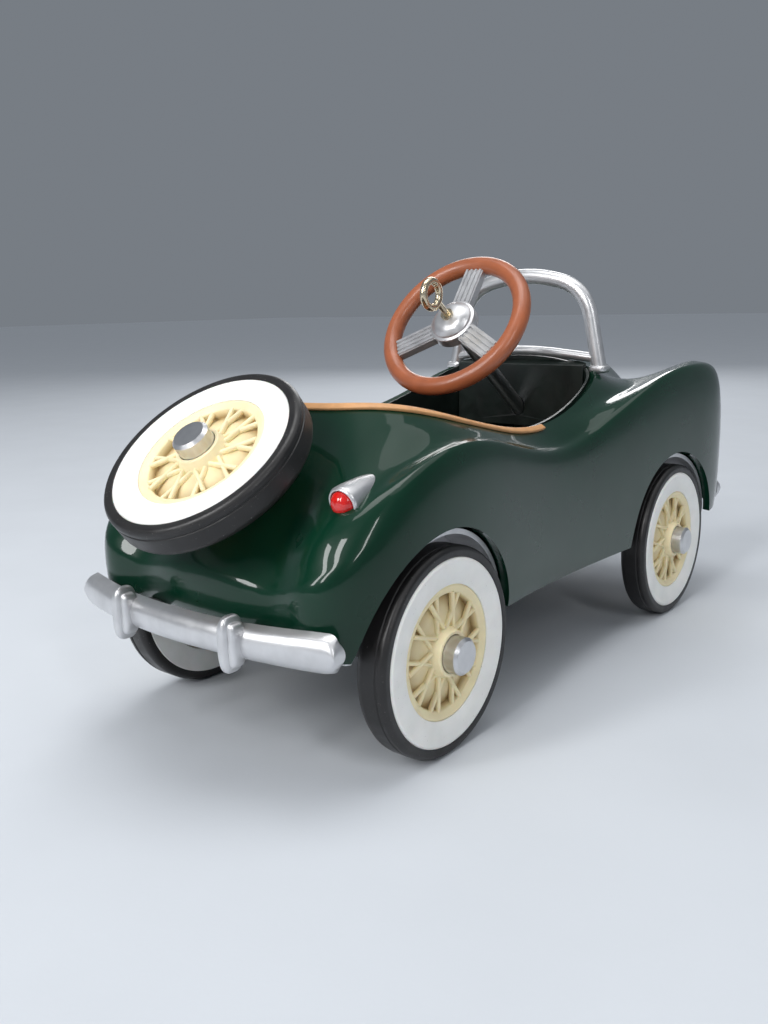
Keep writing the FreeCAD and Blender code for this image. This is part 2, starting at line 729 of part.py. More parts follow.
def plan_inward(points, index):
    """The level direction square to a closed ring of points, towards its inside."""
    before, after = points[index - 1], points[(index + 1) % len(points)]
    along = Vector(after.x - before.x, after.y - before.y, 0).normalize()
    return Vector(-along.y, along.x, 0)


def lining_sections(inset, floor_level):
    """The cockpit lining's wall: from the floor straight up to the rim."""
    rim = [section[-1] for section in outer_sections]
    sections = []
    for index, spot in enumerate(rim):
        top = spot + plan_inward(rim, index) * inset
        foot = Vector(top.x * FLOOR_NARROWING, top.y + FLOOR_SHIFT, floor_level)
        top.z = spot.z - 0.1
        sections.append([foot, foot * 0.5 + top * 0.5, top])
    return sections


def cockpit_lining():
    thickness = d.lining.number
    outer = lining_sections(LINING_GAP, plate_top.number)
    inner = lining_sections(LINING_GAP + thickness, plate_top.number + thickness)
    faces = [skin_surface(outer).toShape(), skin_surface(inner).toShape(),
             Part.makeRuledSurface(ring_edge(outer, -1), ring_edge(inner, -1))]
    for sections in (outer, inner):
        faces.append(Part.Face(Part.Wire(ring_edge(sections, 0))))
    tub = fixed_shape("CockpitTub", solid_from(faces))
    middle = d.wheelbase_middle
    footwell = box("Footwell", (-10.2, middle - 34, plate_top + 1.4),
                   (10.2, middle - 20.5, plate_top + 15))
    column_hole = cylinder("LiningColumnHole", d.column_radius + 0.5, d.column_length,
                           *on_column(-d.column_length), STEER_AXIS)
    opened = cut("OpenedTub", tub, footwell, column_hole)
    return node(common("CockpitLining", opened, inner_block), "cockpit_lining")


def cockpit_trim():
    """A strip laid on the rim from door to door round the back."""
    rim_rows = {"inner_top": [], "outer_top": [], "outer_low": [], "inner_low": []}
    rim = [section[-1] for section in outer_sections]
    for index, section in enumerate(outer_sections):
        across = (section[-2] - section[-1]).normalize()
        along = Vector(plan_inward(rim, index).y, -plan_inward(rim, index).x, 0)
        lift = across.cross(along).normalize()
        if lift.z < 0:
            lift = -lift
        high, low = lift * d.trim_height.number, lift * -0.3
        wide = across * d.trim_width.number
        edge = section[-1]
        rim_rows["inner_top"].append([edge + high])
        rim_rows["outer_top"].append([edge + wide + high])
        rim_rows["outer_low"].append([edge + wide + low])
        rim_rows["inner_low"].append([edge + low])
    first, last = TRIM_STATIONS[0] - 1, TRIM_STATIONS[1] - 1
    curves = []
    for rows in rim_rows.values():
        curves.append(ring_edge(rows, 0).Curve.toShape(first, last))
    faces = []
    for edge, following in zip(curves, curves[1:] + curves[:1]):
        faces.append(Part.makeRuledSurface(edge, following))
    for end in (first, last):
        corners = [edge.Curve.value(end) for edge in curves]
        faces.append(Part.Face(Part.makePolygon(corners + corners[:1])))
    strip = fixed_shape("TrimStrip", solid_from(faces))
    return node(cut("CockpitTrim", strip, outer_block), "cockpit_trim")


TRIM_STATIONS = (9, 27)


def rounded(name, base, radius, wanted):
    """A Part fillet on the edges that the test picks out."""
    doc.recompute()
    result = doc.addObject("Part::Fillet", name)
    result.Base = base
    result.Edges = [(count, radius.number, radius.number)
                    for count, edge in enumerate(base.Shape.Edges, start=1) if wanted(edge)]
    return result


def seat():
    """A bench with a cushion and a leaning squab, fitted to the lining's round back."""
    middle = d.wheelbase_middle
    floor = plate_top + d.lining
    top = floor + d.seat_base_height
    inset = LINING_GAP + d.lining.number + SEAT_GAP
    space = fixed_shape("SeatSpace", block_inside(lining_sections(inset, floor.number)))
    low = (-d.seat_half_width, middle + d.seat_front, floor)
    high = (d.seat_half_width, middle + d.seat_rear, top)
    node(common("SeatBase", box("BenchBlank", low, high), space), "seat_base")
    pillow = box("CushionBlank", (low[0], low[1], top),
                 (high[0], high[1], top + d.cushion_height))
    pillow = rounded("CushionPillow", pillow, d.cushion_edge, lambda edge: True)
    node(common("SeatCushion", pillow, space), "seat_cushion")
    squab = box("SquabBlank", (-d.seat_half_width, 0, 0),
                (d.seat_half_width, d.squab_thickness, d.squab_height))
    squab = rounded("SquabPillow", squab, d.squab_thickness / 2.2, lambda edge: True)
    lean = Rotation(Vector(1, 0, 0), -d.squab_tilt.number)
    place(squab, 0, middle + d.seat_rear - d.squab_thickness, top + d.cushion_height + 0.3, lean)
    node(common("SeatBack", squab, space), "seat_back")


# ---------------------------------------------------------------- steering

steer_angle = math.radians(d.steer_rake.number)
STEER_AXIS = (0, math.cos(steer_angle), math.sin(steer_angle))
steer_y = d.wheelbase_middle - d.steer_reach


def on_column(distance):
    """The point on the steering axis at a distance out from the wheel's plane."""
    distance = as_size(distance)
    return 0, steer_y + distance * STEER_AXIS[1], d.steer_height + distance * STEER_AXIS[2]


def steering_spider():
    """Three flat ribbed spokes and a hub disc, local +Z towards the driver."""
    body = new_body("SteeringSpider")
    half = d.steer_spoke_thickness / 2
    sketch = new_sketch(body, "XY_Plane", "HubOutline")
    circle(sketch, d.steer_hub_radius)
    pad(body, sketch, "Hub", d.steer_spoke_thickness, midplane=True)

    side = d.steer_spoke_width / 2
    sketch = new_sketch(body, "XY_Plane", "SpokeOutline")
    polygon(sketch, [(-side, -d.steer_spoke_reach), (side, -d.steer_spoke_reach),
                     (side, -1), (-side, -1)])
    feature = pad(body, sketch, "Spoke", d.steer_spoke_thickness, midplane=True)
    repeat_round(body, feature, "Spokes", 3)

    sketch = new_sketch(body, "XY_Plane", "RibOutlines")
    bind(sketch, "AttachmentOffset.Base.z", half)
    pitch = d.steer_spoke_width / 4
    for count in (-1.5, -0.5, 0.5, 1.5):
        centre = pitch * count
        polygon(sketch, [(centre - d.steer_rib / 2, -d.steer_spoke_reach + 0.3),
                         (centre + d.steer_rib / 2, -d.steer_spoke_reach + 0.3),
                         (centre + d.steer_rib / 2, -d.steer_hub_radius + 0.3),
                         (centre - d.steer_rib / 2, -d.steer_hub_radius + 0.3)])
    feature = pad(body, sketch, "Ribs", 0.25)
    repeat_round(body, feature, "RibSets", 3)
    return node(place(body, *on_column(0), pointing(STEER_AXIS)), "steering_spider")


def steering():
    node(torus("SteeringRim", d.rim_radius, d.rim_tube, *on_column(0), STEER_AXIS),
         "steering_rim")
    steering_spider()
    half = d.steer_spoke_thickness / 2
    button = cylinder("HubButtonBlank", d.steer_hub_radius - 0.3, d.steer_hub_height - half)
    button = rounded("HubButton", button, (d.steer_hub_height - half) * 0.9,
                     lambda edge: edge.BoundBox.ZMin > 0.5 and edge.BoundBox.ZLength < 0.01)
    node(place(button, *on_column(half), pointing(STEER_AXIS)), "steering_hub_button")
    node(cylinder("SteeringColumn", d.column_radius, d.column_length - half,
                  *on_column(-d.column_length), STEER_AXIS), "steering_column")

    ring = torus("EyeRing", d.eye_outer_radius - d.eye_wire, d.eye_wire,
                 *on_column(d.eye_height), (1, 0, 0))
    stem_length = d.eye_height - d.steer_hub_height - d.eye_outer_radius + d.eye_wire
    stem = cylinder("EyeStem", d.eye_wire * 0.85, stem_length,
                    *on_column(d.steer_hub_height), STEER_AXIS)
    collar = cylinder("EyeCollar", d.eye_wire * 1.7, 0.4, *on_column(d.steer_hub_height),
                      STEER_AXIS)
    node(fuse("HangingEye", ring, stem, collar), "hanging_eye")


def dashboard():
    """The dash panel, whose lower edge carries the steering column."""
    middle = d.wheelbase_middle
    face = middle - d.dash_reach + 1.4
    back = face - d.dash_thickness
    body = new_body("DashPanel")
    sketch = new_sketch(body, "YZ_Plane", "Section")
    polygon(sketch, [(face, d.dash_bottom - 2.4), (face, d.dash_top - 0.6),
                     (middle - d.dash_reach - 0.6, d.dash_top),
                     (middle - d.dash_reach - 0.6, d.dash_top - 0.8),
                     (back, d.dash_top - 1.4), (back, d.dash_bottom - 2.4)])
    pad(body, sketch, "Panel", d.dash_half_width * 2, midplane=True)
    doc.recompute()
    bore = cylinder("DashBore", d.column_radius + d.column_gap, d.column_length,
                    *on_column(-d.column_length), STEER_AXIS)
    node(common("Dashboard", cut("BoredDash", body, bore), inner_block), "dashboard")


def column_foot():
    """A block on the base casting that holds the column's lower end."""
    middle = d.wheelbase_middle
    block = box("FootBlock", (-2.6, middle - 36, plate_top), (2.6, middle - 31.4, plate_top + 9))
    bore = cylinder("FootBore", d.column_radius + d.column_gap, d.column_length + 0.2,
                    *on_column(-d.column_length - 0.2), STEER_AXIS)
    node(cut("ColumnFoot", block, bore), "column_foot")


# ---------------------------------------------------------------- pedals

def pedals():
    y = d.wheelbase_middle - d.pedal_reach
    z = d.pedal_pivot_height
    node(cylinder("PedalRod", d.pedal_rod_radius, d.pedal_rod_half * 2, -d.pedal_rod_half, y, z,
                  (1, 0, 0)), "pedal_rod")
    ears = []
    for side_name, side in SIDES.items():
        tag = side_name.title()
        inner = d.pedal_rod_half * side
        outer = inner + d.pedal_bracket_thickness * side
        low_x, high_x = (inner, outer) if side > 0 else (outer, inner)
        ear = box(f"Ear{tag}", (low_x, y - 1.8, z - 1.6), (high_x, y + 1.8, z + 12))
        ears.append(common(f"PedalEar{tag}", ear, inner_block))

        hub_half = as_size(1.1)
        x = d.pedal_spread * side
        hub = cylinder(f"PedalHub{tag}", d.pedal_hub_radius, hub_half * 2, x - hub_half, y, z,
                       (1, 0, 0))
        arm = box(f"PedalArm{tag}", (x - 0.6, y - 0.45, z - d.pedal_arm_length),
                  (x + 0.6, y + 0.45, z))
        half_width, half_height = d.pedal_pad_width / 2, d.pedal_pad_height / 2
        centre = z - d.pedal_arm_length
        tread = box(f"PedalTread{tag}",
                    (x - half_width, y - 0.2, centre - half_height),
                    (x + half_width, y - 0.2 + d.pedal_pad_thickness, centre + half_height))
        bore = cylinder(f"PedalBore{tag}", d.pedal_rod_radius + d.pedal_gap, 6, x - 3, y, z,
                        (1, 0, 0))
        whole = fuse(f"PedalBlank{tag}", hub, arm, tread)
        node(cut(f"Pedal{tag}", whole, bore), f"pedal_{side_name}")
    node(group("PedalBrackets", *ears), "pedal_brackets")


# ---------------------------------------------------------------- windscreen frame

def windshield(shell, lining):
    """An inverted U with a lower rail that follows the scuttle's curve."""
    body = new_body("ScreenFrame")
    y = d.wheelbase_middle - d.screen_reach
    foot, top, wide = d.screen_foot, d.screen_top, d.screen_half_width
    narrow, bar = wide - d.screen_lean_in, d.screen_bar
    shoulder = top - 1.6
    sketch = new_sketch(body, "XZ_Plane", "Outer")
    bind(sketch, "AttachmentOffset.Base.z", -y)
    polygon(sketch, [(-wide, foot), (-narrow, shoulder), (0, top + 0.4), (narrow, shoulder),
                     (wide, foot)])
    pad(body, sketch, "Plate", d.screen_depth, midplane=True)

    def corner(edge, reach):
        box_ = edge.BoundBox
        return box_.XLength < 0.01 and box_.ZLength < 0.01 and abs(box_.Center.x) < reach and \
            box_.Center.z > foot.number + 8

    fillet(body, "OuterCorners", d.screen_corner, lambda edge: corner(edge, 50) and
           abs(edge.BoundBox.Center.x) > 5)
    fillet(body, "OuterCrown", d.screen_crown, lambda edge: corner(edge, 1))
    sketch = new_sketch(body, "XZ_Plane", "Inner")
    bind(sketch, "AttachmentOffset.Base.z", -y)
    polygon(sketch, [(bar - wide, foot - 1), (bar - narrow, shoulder - bar),
                     (0, top + 0.4 - bar), (narrow - bar, shoulder - bar), (wide - bar, foot - 1)])
    pocket(body, sketch, "Opening", d.screen_depth * 2, midplane=True)
    inside = (d.screen_half_width - bar).number - 0.1
    fillet(body, "InnerCorners", d.screen_corner - bar, lambda edge: corner(edge, inside) and
           abs(edge.BoundBox.Center.x) > 5 and edge.BoundBox.Center.z < shoulder.number - 1)
    fillet(body, "InnerCrown", d.screen_crown - bar, lambda edge: corner(edge, 1))

    sketch = new_sketch(body, "XZ_Plane", "Rail")
    bind(sketch, "AttachmentOffset.Base.z", -y)
    end = wide - 1.3
    drop, height = d.rail_drop, d.rail_height
    polygon(sketch, [(-end, d.rail_top - drop - height), (0, d.rail_top - height),
                     (end, d.rail_top - drop - height), (end, d.rail_top - drop),
                     (0, d.rail_top), (-end, d.rail_top - drop)])
    pad(body, sketch, "RailPad", d.screen_depth, midplane=True)
    node(cut("WindshieldFrame", body, shell, lining), "windshield_frame")


# ---------------------------------------------------------------- bumpers

def bumper(label, way, face, shell):
    """A curved bar with two overriders and two brackets; way is +1 at the tail, -1 at the nose."""
    name = label.title()
    middle = d.wheelbase_middle
    centre_y = middle + (face - d.bumper_radius) * way
    low = d.bumper_level - d.bumper_height / 2
    outer = cylinder(f"{name}BarOuter", d.bumper_radius, d.bumper_height, 0, centre_y, low)
    inner = cylinder(f"{name}BarInner", d.bumper_radius - d.bumper_thickness,
                     d.bumper_height, 0, centre_y, low)
    near, far = middle + (face - 9) * way, middle + (face + 2) * way
    y_low, y_high = (near, far) if way > 0 else (far, near)
    window = box(f"{name}BarWindow", (-d.bumper_half_width, y_low, low),
                 (d.bumper_half_width, y_high, low + d.bumper_height))
    blank = common(f"{name}BarBlank", cut(f"{name}Ring", outer, inner), window)
    doc.recompute()
    limit = d.bumper_half_width.number - 0.01

    def outer_edge(edge):
        """Edges on the bar's outer face and at its two ends, but not on its back."""
        bounds = edge.BoundBox
        middle_point = edge.valueAt(sum(edge.ParameterRange) / 2)
        radius = math.hypot(middle_point.x, middle_point.y - centre_y.number)
        at_end = abs(bounds.Center.x) > limit
        return radius > d.bumper_radius.number - 0.05 and (bounds.XLength > 5 or at_end)

    bar = rounded(f"{name}Bar", blank, d.bumper_edge, outer_edge)
    bar = node(bar, f"{label}_bumper")

    overriders = []
    brackets = []
    for side_name, side in SIDES.items():
        tag = f"{name}{side_name.title()}"
        x = d.overrider_spread * side
        blocks = []
        for part, wide, tall, deep, back in (
                ("Ridge", d.overrider_width, d.overrider_height, d.overrider_depth, 2.2),
                ("Collar", d.collar_width, d.collar_height, d.collar_depth, 2.0)):
            start = middle + (face - back) * way
            end = start + deep * way
            y_low, y_high = (start, end) if way > 0 else (end, start)
            blank = box(f"{part}{tag}Blank", (x - wide / 2, y_low, d.bumper_level - tall / 2),
                        (x + wide / 2, y_high, d.bumper_level + tall / 2))
            radius = wide * 0.42 if part == "Ridge" else wide * 0.2
            blocks.append(rounded(f"{part}{tag}", blank, radius, lambda edge: True))
        overriders.append(cut(f"Overrider{tag}", fuse(f"OverriderBlank{tag}", *blocks), bar))

        back = middle + (face - d.bracket_length - 1.4) * way
        front = middle + (face - 1.4) * way
        y_low, y_high = (back, front) if way > 0 else (front, back)
        arm = box(f"BracketArm{tag}", (x - d.bracket_width / 2, y_low, plate_top),
                  (x + d.bracket_width / 2, y_high, plate_top + d.bracket_height))
        brackets.append(cut(f"Bracket{tag}", arm, bar, overriders[-1], shell))
    node(group(f"{name}Overriders", *overriders), f"{label}_overriders")
    node(group(f"{name}Brackets", *brackets), f"{label}_bumper_brackets")


# ---------------------------------------------------------------- nose and lamps

def grille():
    """A frame round at both ends, filled with upright bars."""
    inset = d.grille_frame
    outer = stadium("GrilleOuter", d.grille_half_width, d.grille_half_height, grille_back,
                    d.grille_depth, d.grille_level)
    inner = stadium("GrilleInner", d.grille_half_width - inset, d.grille_half_height - inset,
                    grille_back + 1, d.grille_depth + 2, d.grille_level)
    frame = cut("GrilleFrame", outer, inner)
    bars = [frame]
    for count in range(-3, 4):
        x = d.grille_pitch * count
        bar = box(f"GrilleBar{count + 3}",
                  (x - d.grille_bar / 2, grille_back - d.grille_depth + 0.3,
                   d.grille_level - d.grille_half_height),
                  (x + d.grille_bar / 2, grille_back - 1.2, d.grille_level + d.grille_half_height))
        bars.append(common(f"GrilleFitted{count + 3}", bar, outer))
    node(fuse("Grille", *bars), "grille")


def headlights():
    bezels = []
    lenses = []
    inner_radius = d.headlight_radius - d.headlight_bezel
    for side_name, side in SIDES.items():
        tag = side_name.title()
        x = d.headlight_spread * side
        cup = cylinder(f"HeadCup{tag}", d.headlight_radius, d.headlight_depth, x,
                       headlight_back, d.headlight_level, (0, -1, 0))
        hollow = cylinder(f"HeadHollow{tag}", inner_radius, d.headlight_depth, x,
                          headlight_back - 0.6, d.headlight_level, (0, -1, 0))
        bezels.append(cut(f"HeadBezel{tag}", cup, hollow))
        front = headlight_back - d.headlight_depth
        disc = cylinder(f"HeadDisc{tag}", inner_radius, 2.4, x, front + 1.5,
                        d.headlight_level, (0, -1, 0))
        dome_radius = inner_radius * 1.7
        dome = sphere(f"HeadDome{tag}", dome_radius, x, front - 0.9 + dome_radius,
                      d.headlight_level)
        lenses.append(common(f"HeadLens{tag}", disc, dome))
    node(group("HeadlightBezels", *bezels), "headlight_bezels")
    node(group("HeadlightLenses", *lenses), "headlight_lenses")


def tail_lamps():
    housings = []
    lenses = []
    for side_name, side in SIDES.items():
        tag = side_name.title()
        x = d.tail_lamp_spread * side
        face = d.wheelbase_middle + d.tail_lamp_face
        tilt = math.radians(d.tail_lamp_tilt.number)
        bullet = cone(f"TailBullet{tag}", d.tail_lamp_radius, d.tail_lamp_radius * 0.5,
                      d.tail_lamp_length, x, face, d.tail_lamp_level,
                      (0, -math.cos(tilt), math.sin(tilt)))
        seat_hole = cylinder(f"TailSeat{tag}", d.tail_lens_radius, 0.6, x, face,
                             d.tail_lamp_level, (0, -1, 0))
        housings.append(cut(f"TailHousing{tag}", bullet, seat_hole, outer_block))
        dome = sphere(f"TailDome{tag}", d.tail_lens_radius * 1.06, x, face - 0.1,
                      d.tail_lamp_level)
        stem = cylinder(f"TailStem{tag}", d.tail_lens_radius, 4, x, face - 0.6,
                        d.tail_lamp_level, (0, 1, 0))
        lenses.append(cut(f"TailLens{tag}", common(f"TailLensBlank{tag}", dome, stem),
                          outer_block))
    node(group("TailLampHousings", *housings), "taillight_housings")
    node(group("TailLampLenses", *lenses), "taillight_lenses")


# ---------------------------------------------------------------- the whole car

shell = body_shell()
base_plate()
base_screws()
wheel_wells()
road_wheels()
axles()
spare_wheel()
lining = cockpit_lining()
cockpit_trim()
seat()
steering()
dashboard()
column_foot()
pedals()
windshield(shell, lining)
bumper("rear", 1, d.bumper_rear, shell)
bumper("front", -1, d.bumper_front, shell)
grille()
headlights()
tail_lamps()
doc.recompute()

for obj in doc.Objects:
    if {"Invalid", "Error"} & set(obj.State):
        raise ValueError(f"{obj.Name} ({obj.Label}) did not build")
for obj in nodes:
    if obj.Shape.isNull() or not obj.Shape.isValid() or not obj.Shape.Solids:
        raise ValueError(f"{obj.Label} is not a valid solid")
for obj in nodes:
    obj.Shape.exportStep(f"parts/{obj.Label}.step")
print(f"{len(nodes)} sub-parts written")
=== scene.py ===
import json
import math

import bmesh
import bpy
from mathutils import Matrix, Quaternion, Vector


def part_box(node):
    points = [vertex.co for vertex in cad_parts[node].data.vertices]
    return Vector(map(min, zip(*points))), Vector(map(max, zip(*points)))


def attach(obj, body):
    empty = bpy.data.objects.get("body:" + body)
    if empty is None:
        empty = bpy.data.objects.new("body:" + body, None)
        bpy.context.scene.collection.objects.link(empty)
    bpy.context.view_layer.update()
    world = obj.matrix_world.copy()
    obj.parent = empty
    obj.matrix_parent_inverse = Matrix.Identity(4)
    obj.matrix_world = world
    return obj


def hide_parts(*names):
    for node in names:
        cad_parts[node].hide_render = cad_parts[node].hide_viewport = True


# Looks for a hanging-ornament pedal car: enamelled body, wire-look wheels, padded seat,
# lamps and a studio.  Sizes below are millimetres and MM turns them into metres.
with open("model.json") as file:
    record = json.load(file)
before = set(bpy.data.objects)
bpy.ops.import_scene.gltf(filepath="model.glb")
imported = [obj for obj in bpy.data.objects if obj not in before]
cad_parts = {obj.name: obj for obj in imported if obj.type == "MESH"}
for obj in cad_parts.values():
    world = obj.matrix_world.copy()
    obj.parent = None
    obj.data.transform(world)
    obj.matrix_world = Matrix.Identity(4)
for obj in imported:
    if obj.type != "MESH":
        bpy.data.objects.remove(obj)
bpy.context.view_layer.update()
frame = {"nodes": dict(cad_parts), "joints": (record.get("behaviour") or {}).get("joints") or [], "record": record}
nodes = frame["nodes"]
MM = 0.001
UP = Vector((0, 0, 1))


# ---------------------------------------------------------------- materials

COLOUR_NOISE_SPAN, GLOSS_NOISE_SPAN = (0.35, 0.65), (0.3, 0.7)
SPECK_START, SPECK_FULL = 0.72, 0.76
MIX_COLOUR_INPUTS, MIX_COLOUR_OUTPUT = (6, 7), 2


def tinted(colour, factor):
    """The colour made lighter or darker."""
    return tuple(min(1.0, channel * factor) for channel in colour[:3]) + (1.0,)


class Paint:
    """One procedural material: a Principled shader fed by noise in object space."""

    def __init__(self, name, colour, roughness, metallic=0.0):
        self.material = bpy.data.materials.new(name)
        self.material.use_nodes = True
        self.tree = self.material.node_tree
        self.shader = self.tree.nodes["Principled BSDF"]
        self.colour = colour
        self.roughness = roughness
        self.shader.inputs["Metallic"].default_value = metallic
        self.place = self.node("ShaderNodeTexCoord").outputs["Object"]
        self.height = None

    def node(self, kind, **settings):
        made = self.tree.nodes.new(kind)
        for key, value in settings.items():
            setattr(made, key, value)
        return made

    def join(self, source, target):
        self.tree.links.new(source, target)

    def noise(self, size, detail=3.0):
        """Noise whose features are about size millimetres wide."""
        texture = self.node("ShaderNodeTexNoise")
        texture.inputs["Scale"].default_value = 1 / (size * MM)
        texture.inputs["Detail"].default_value = detail
        self.join(self.place, texture.inputs["Vector"])
        return texture.outputs["Fac"]

    def ranged(self, source, low, high, to_low, to_high):
        made = self.node("ShaderNodeMapRange")
        for key, value in (("From Min", low), ("From Max", high), ("To Min", to_low),
                           ("To Max", to_high)):
            made.inputs[key].default_value = value
        self.join(source, made.inputs["Value"])
        return made.outputs["Result"]

    def mixed(self, factor, first, second):
        """A colour mix; either side may be a colour or a socket."""
        made = self.node("ShaderNodeMix", data_type="RGBA")
        self.join(factor, made.inputs["Factor"])
        side_a, side_b = (made.inputs[index] for index in MIX_COLOUR_INPUTS)
        for socket, value in ((side_a, first), (side_b, second)):
            if isinstance(value, bpy.types.NodeSocket):
                self.join(value, socket)
            else:
                socket.default_value = value
        return made.outputs[MIX_COLOUR_OUTPUT]

    def mottled(self, size, spread, rough_spread=0.06):
        """Slow colour and gloss variation over the surface."""
        field = self.ranged(self.noise(size), *COLOUR_NOISE_SPAN, 0, 1)
        self.colour_out = self.mixed(field, tinted(self.colour, 1 - spread),
                                     tinted(self.colour, 1 + spread))
        self.rough_out = self.ranged(self.noise(size * 0.4, detail=5.0), *GLOSS_NOISE_SPAN,
                                     self.roughness - rough_spread,
                                     self.roughness + rough_spread)
        return self

    def specks(self, size, colour, amount):
        """Sparse small marks, such as rubbed spots; a smaller amount leaves fewer."""
        spots = self.ranged(self.noise(size, detail=1.0), SPECK_START - amount,
                            SPECK_FULL - amount, 0, 1)
        self.colour_out = self.mixed(spots, self.colour_out, tinted(colour, 1))
        return self

    def grain(self, size, depth, detail=3.0):
        """Surface relief, depth in millimetres."""
        bump = self.node("ShaderNodeBump")
        bump.inputs["Distance"].default_value = depth * MM
        bump.inputs["Strength"].default_value = 1.0
        self.join(self.noise(size, detail), bump.inputs["Height"])
        if self.height is not None:
            self.join(self.height, bump.inputs["Normal"])
        self.height = bump.outputs["Normal"]
        return self

    def set(self, **values):
        """Constant shader values, such as coat or transmission."""
        for key, value in values.items():
            self.shader.inputs[key.replace("_", " ")].default_value = value
        return self

    def done(self):
        self.join(self.colour_out, self.shader.inputs["Base Color"])
        self.join(self.rough_out, self.shader.inputs["Roughness"])
        if self.height is not None:
            self.join(self.height, self.shader.inputs["Normal"])
        return self.material


# Painted shade: a darker cream painted into the deep pockets of the wheel discs.
POCKET_PAINTED_SHADE = (0.42, 0.29, 0.12, 1)


def body_green():
    paint = (Paint("enamel_green", (0.0012, 0.026, 0.0125), 0.30)
             .mottled(size=14, spread=0.10, rough_spread=0.04))
    return (paint
            .grain(size=6.0, depth=0.003, detail=1.0)
            .set(Specular_IOR_Level=0.12, Coat_Weight=1.0, Coat_Roughness=0.03, Coat_IOR=1.34)
            .done())


def silver_paint():
    paint = (Paint("silver_paint", (0.66, 0.66, 0.67), 0.36, 0.82)
             .mottled(size=3.0, spread=0.07))
    return (paint
            .grain(size=0.14, depth=0.0025, detail=3.0)
            .grain(size=2.2, depth=0.005, detail=1.0)
            .set(Coat_Weight=0.25, Coat_Roughness=0.25)
            .done())


def bracket_steel():
    paint = (Paint("bracket_paint", (0.16, 0.16, 0.17), 0.42, 0.7)
             .mottled(size=2.4, spread=0.15))
    return paint.grain(size=0.2, depth=0.008, detail=4.0).done()


def steel():
    paint = (Paint("turned_steel", (0.66, 0.66, 0.67), 0.34, 1.0)
             .mottled(size=2.0, spread=0.05, rough_spread=0.03))
    return paint.grain(size=0.8, depth=0.001, detail=1.0).done()


def tyre_black():
    paint = (Paint("tyre_vinyl", (0.013, 0.012, 0.012), 0.40)
             .mottled(size=4.0, spread=0.25, rough_spread=0.08))
    return (paint
            .specks(0.22, (0.10, 0.095, 0.09), -0.015)
            .grain(size=0.25, depth=0.005, detail=4.0)
            .done())


def whitewall():
    paint = (Paint("whitewall_vinyl", (0.93, 0.92, 0.88), 0.34)
             .mottled(size=3.5, spread=0.035, rough_spread=0.06))
    return (paint
            .specks(0.18, (0.45, 0.42, 0.36), -0.045)
            .grain(size=0.6, depth=0.005, detail=3.0)
            .set(Subsurface_Weight=0.08, Subsurface_Scale=0.4 * MM)
            .done())


def cream_disc():
    """Cream plastic with painted shade: the deep corners behind the wires are painted darker, standing in for the
    shade that falls there.
    """
    paint = (Paint("cream_plastic", (0.92, 0.80, 0.51), 0.40)
             .mottled(size=2.5, spread=0.05, rough_spread=0.05))
    # Painted shade: the cream darkens towards the pocket floor, by local Z, in place of shade in the recesses.
    split = paint.node("ShaderNodeSeparateXYZ")
    paint.join(paint.place, split.inputs["Vector"])
    depth = paint.ranged(split.outputs["Z"], POCKET_FLOOR * MM, FLOOR_AT_HUB * MM, 0, 1)
    paint.colour_out = paint.mixed(depth, POCKET_PAINTED_SHADE, paint.colour_out)
    return (paint
            .grain(size=0.35, depth=0.005, detail=3.0)
            .set(Subsurface_Weight=0.10, Subsurface_Scale=0.3 * MM)
            .done())


def interior_black():
    paint = (Paint("interior_black", (0.005, 0.010, 0.008), 0.38)
             .mottled(size=3.0, spread=0.3))
    return paint.grain(size=0.25, depth=0.004, detail=3.0).done()


def tan_trim():
    paint = Paint("trim_tan", (0.64, 0.33, 0.14), 0.46).mottled(size=1.6, spread=0.08)
    return paint.grain(size=0.18, depth=0.012, detail=4.0).done()


def tan_leather():
    paint = (Paint("leather_tan", (0.46, 0.20, 0.08), 0.52)
             .mottled(size=1.8, spread=0.09, rough_spread=0.06))
    return (paint
            .grain(size=0.14, depth=0.012, detail=4.0)
            .grain(size=0.8, depth=0.012, detail=2.0)
            .set(Sheen_Weight=0.15, Sheen_Roughness=0.5)
            .done())


def rim_brown():
    paint = (Paint("rim_terracotta", (0.36, 0.105, 0.042), 0.36)
             .mottled(size=2.5, spread=0.08))
    return (paint
            .specks(0.15, (0.20, 0.045, 0.02), -0.03)
            .grain(size=0.35, depth=0.006, detail=4.0)
            .set(Coat_Weight=0.2, Coat_Roughness=0.2)
            .done())


def eye_brass():
    paint = (Paint("eye_brass", (0.72, 0.62, 0.45), 0.24, 1.0)
             .mottled(size=0.9, spread=0.10))
    return paint.grain(size=0.6, depth=0.002, detail=1.0).done()


def red_lens():
    paint = (Paint("lens_red", (0.62, 0.012, 0.010), 0.16)
             .mottled(size=1.0, spread=0.10, rough_spread=0.03))
    return (paint
            .grain(size=0.5, depth=0.006, detail=1.0)
            .set(Coat_Weight=0.8, Coat_Roughness=0.05, Subsurface_Weight=0.2,
                 Subsurface_Scale=0.5 * MM)
            .done())


def clear_lens():
    paint = (Paint("lens_clear", (0.92, 0.95, 0.96), 0.07)
             .mottled(size=1.5, spread=0.03, rough_spread=0.02))
    return (paint
            .grain(size=0.5, depth=0.006, detail=1.0)
            .set(Transmission_Weight=0.9, IOR=1.48)
            .done())


def lamp_mirror():
    paint = (Paint("lamp_mirror", (0.80, 0.80, 0.78), 0.14, 1.0)
             .mottled(size=0.8, spread=0.05, rough_spread=0.04))
    return paint.grain(size=0.4, depth=0.003, detail=2.0).done()


# ---------------------------------------------------------------- mesh tools

SAME_POINT = 1e-7
SHARP_ANGLE = math.radians(50)
SIDES = (("left", 1), ("right", -1))


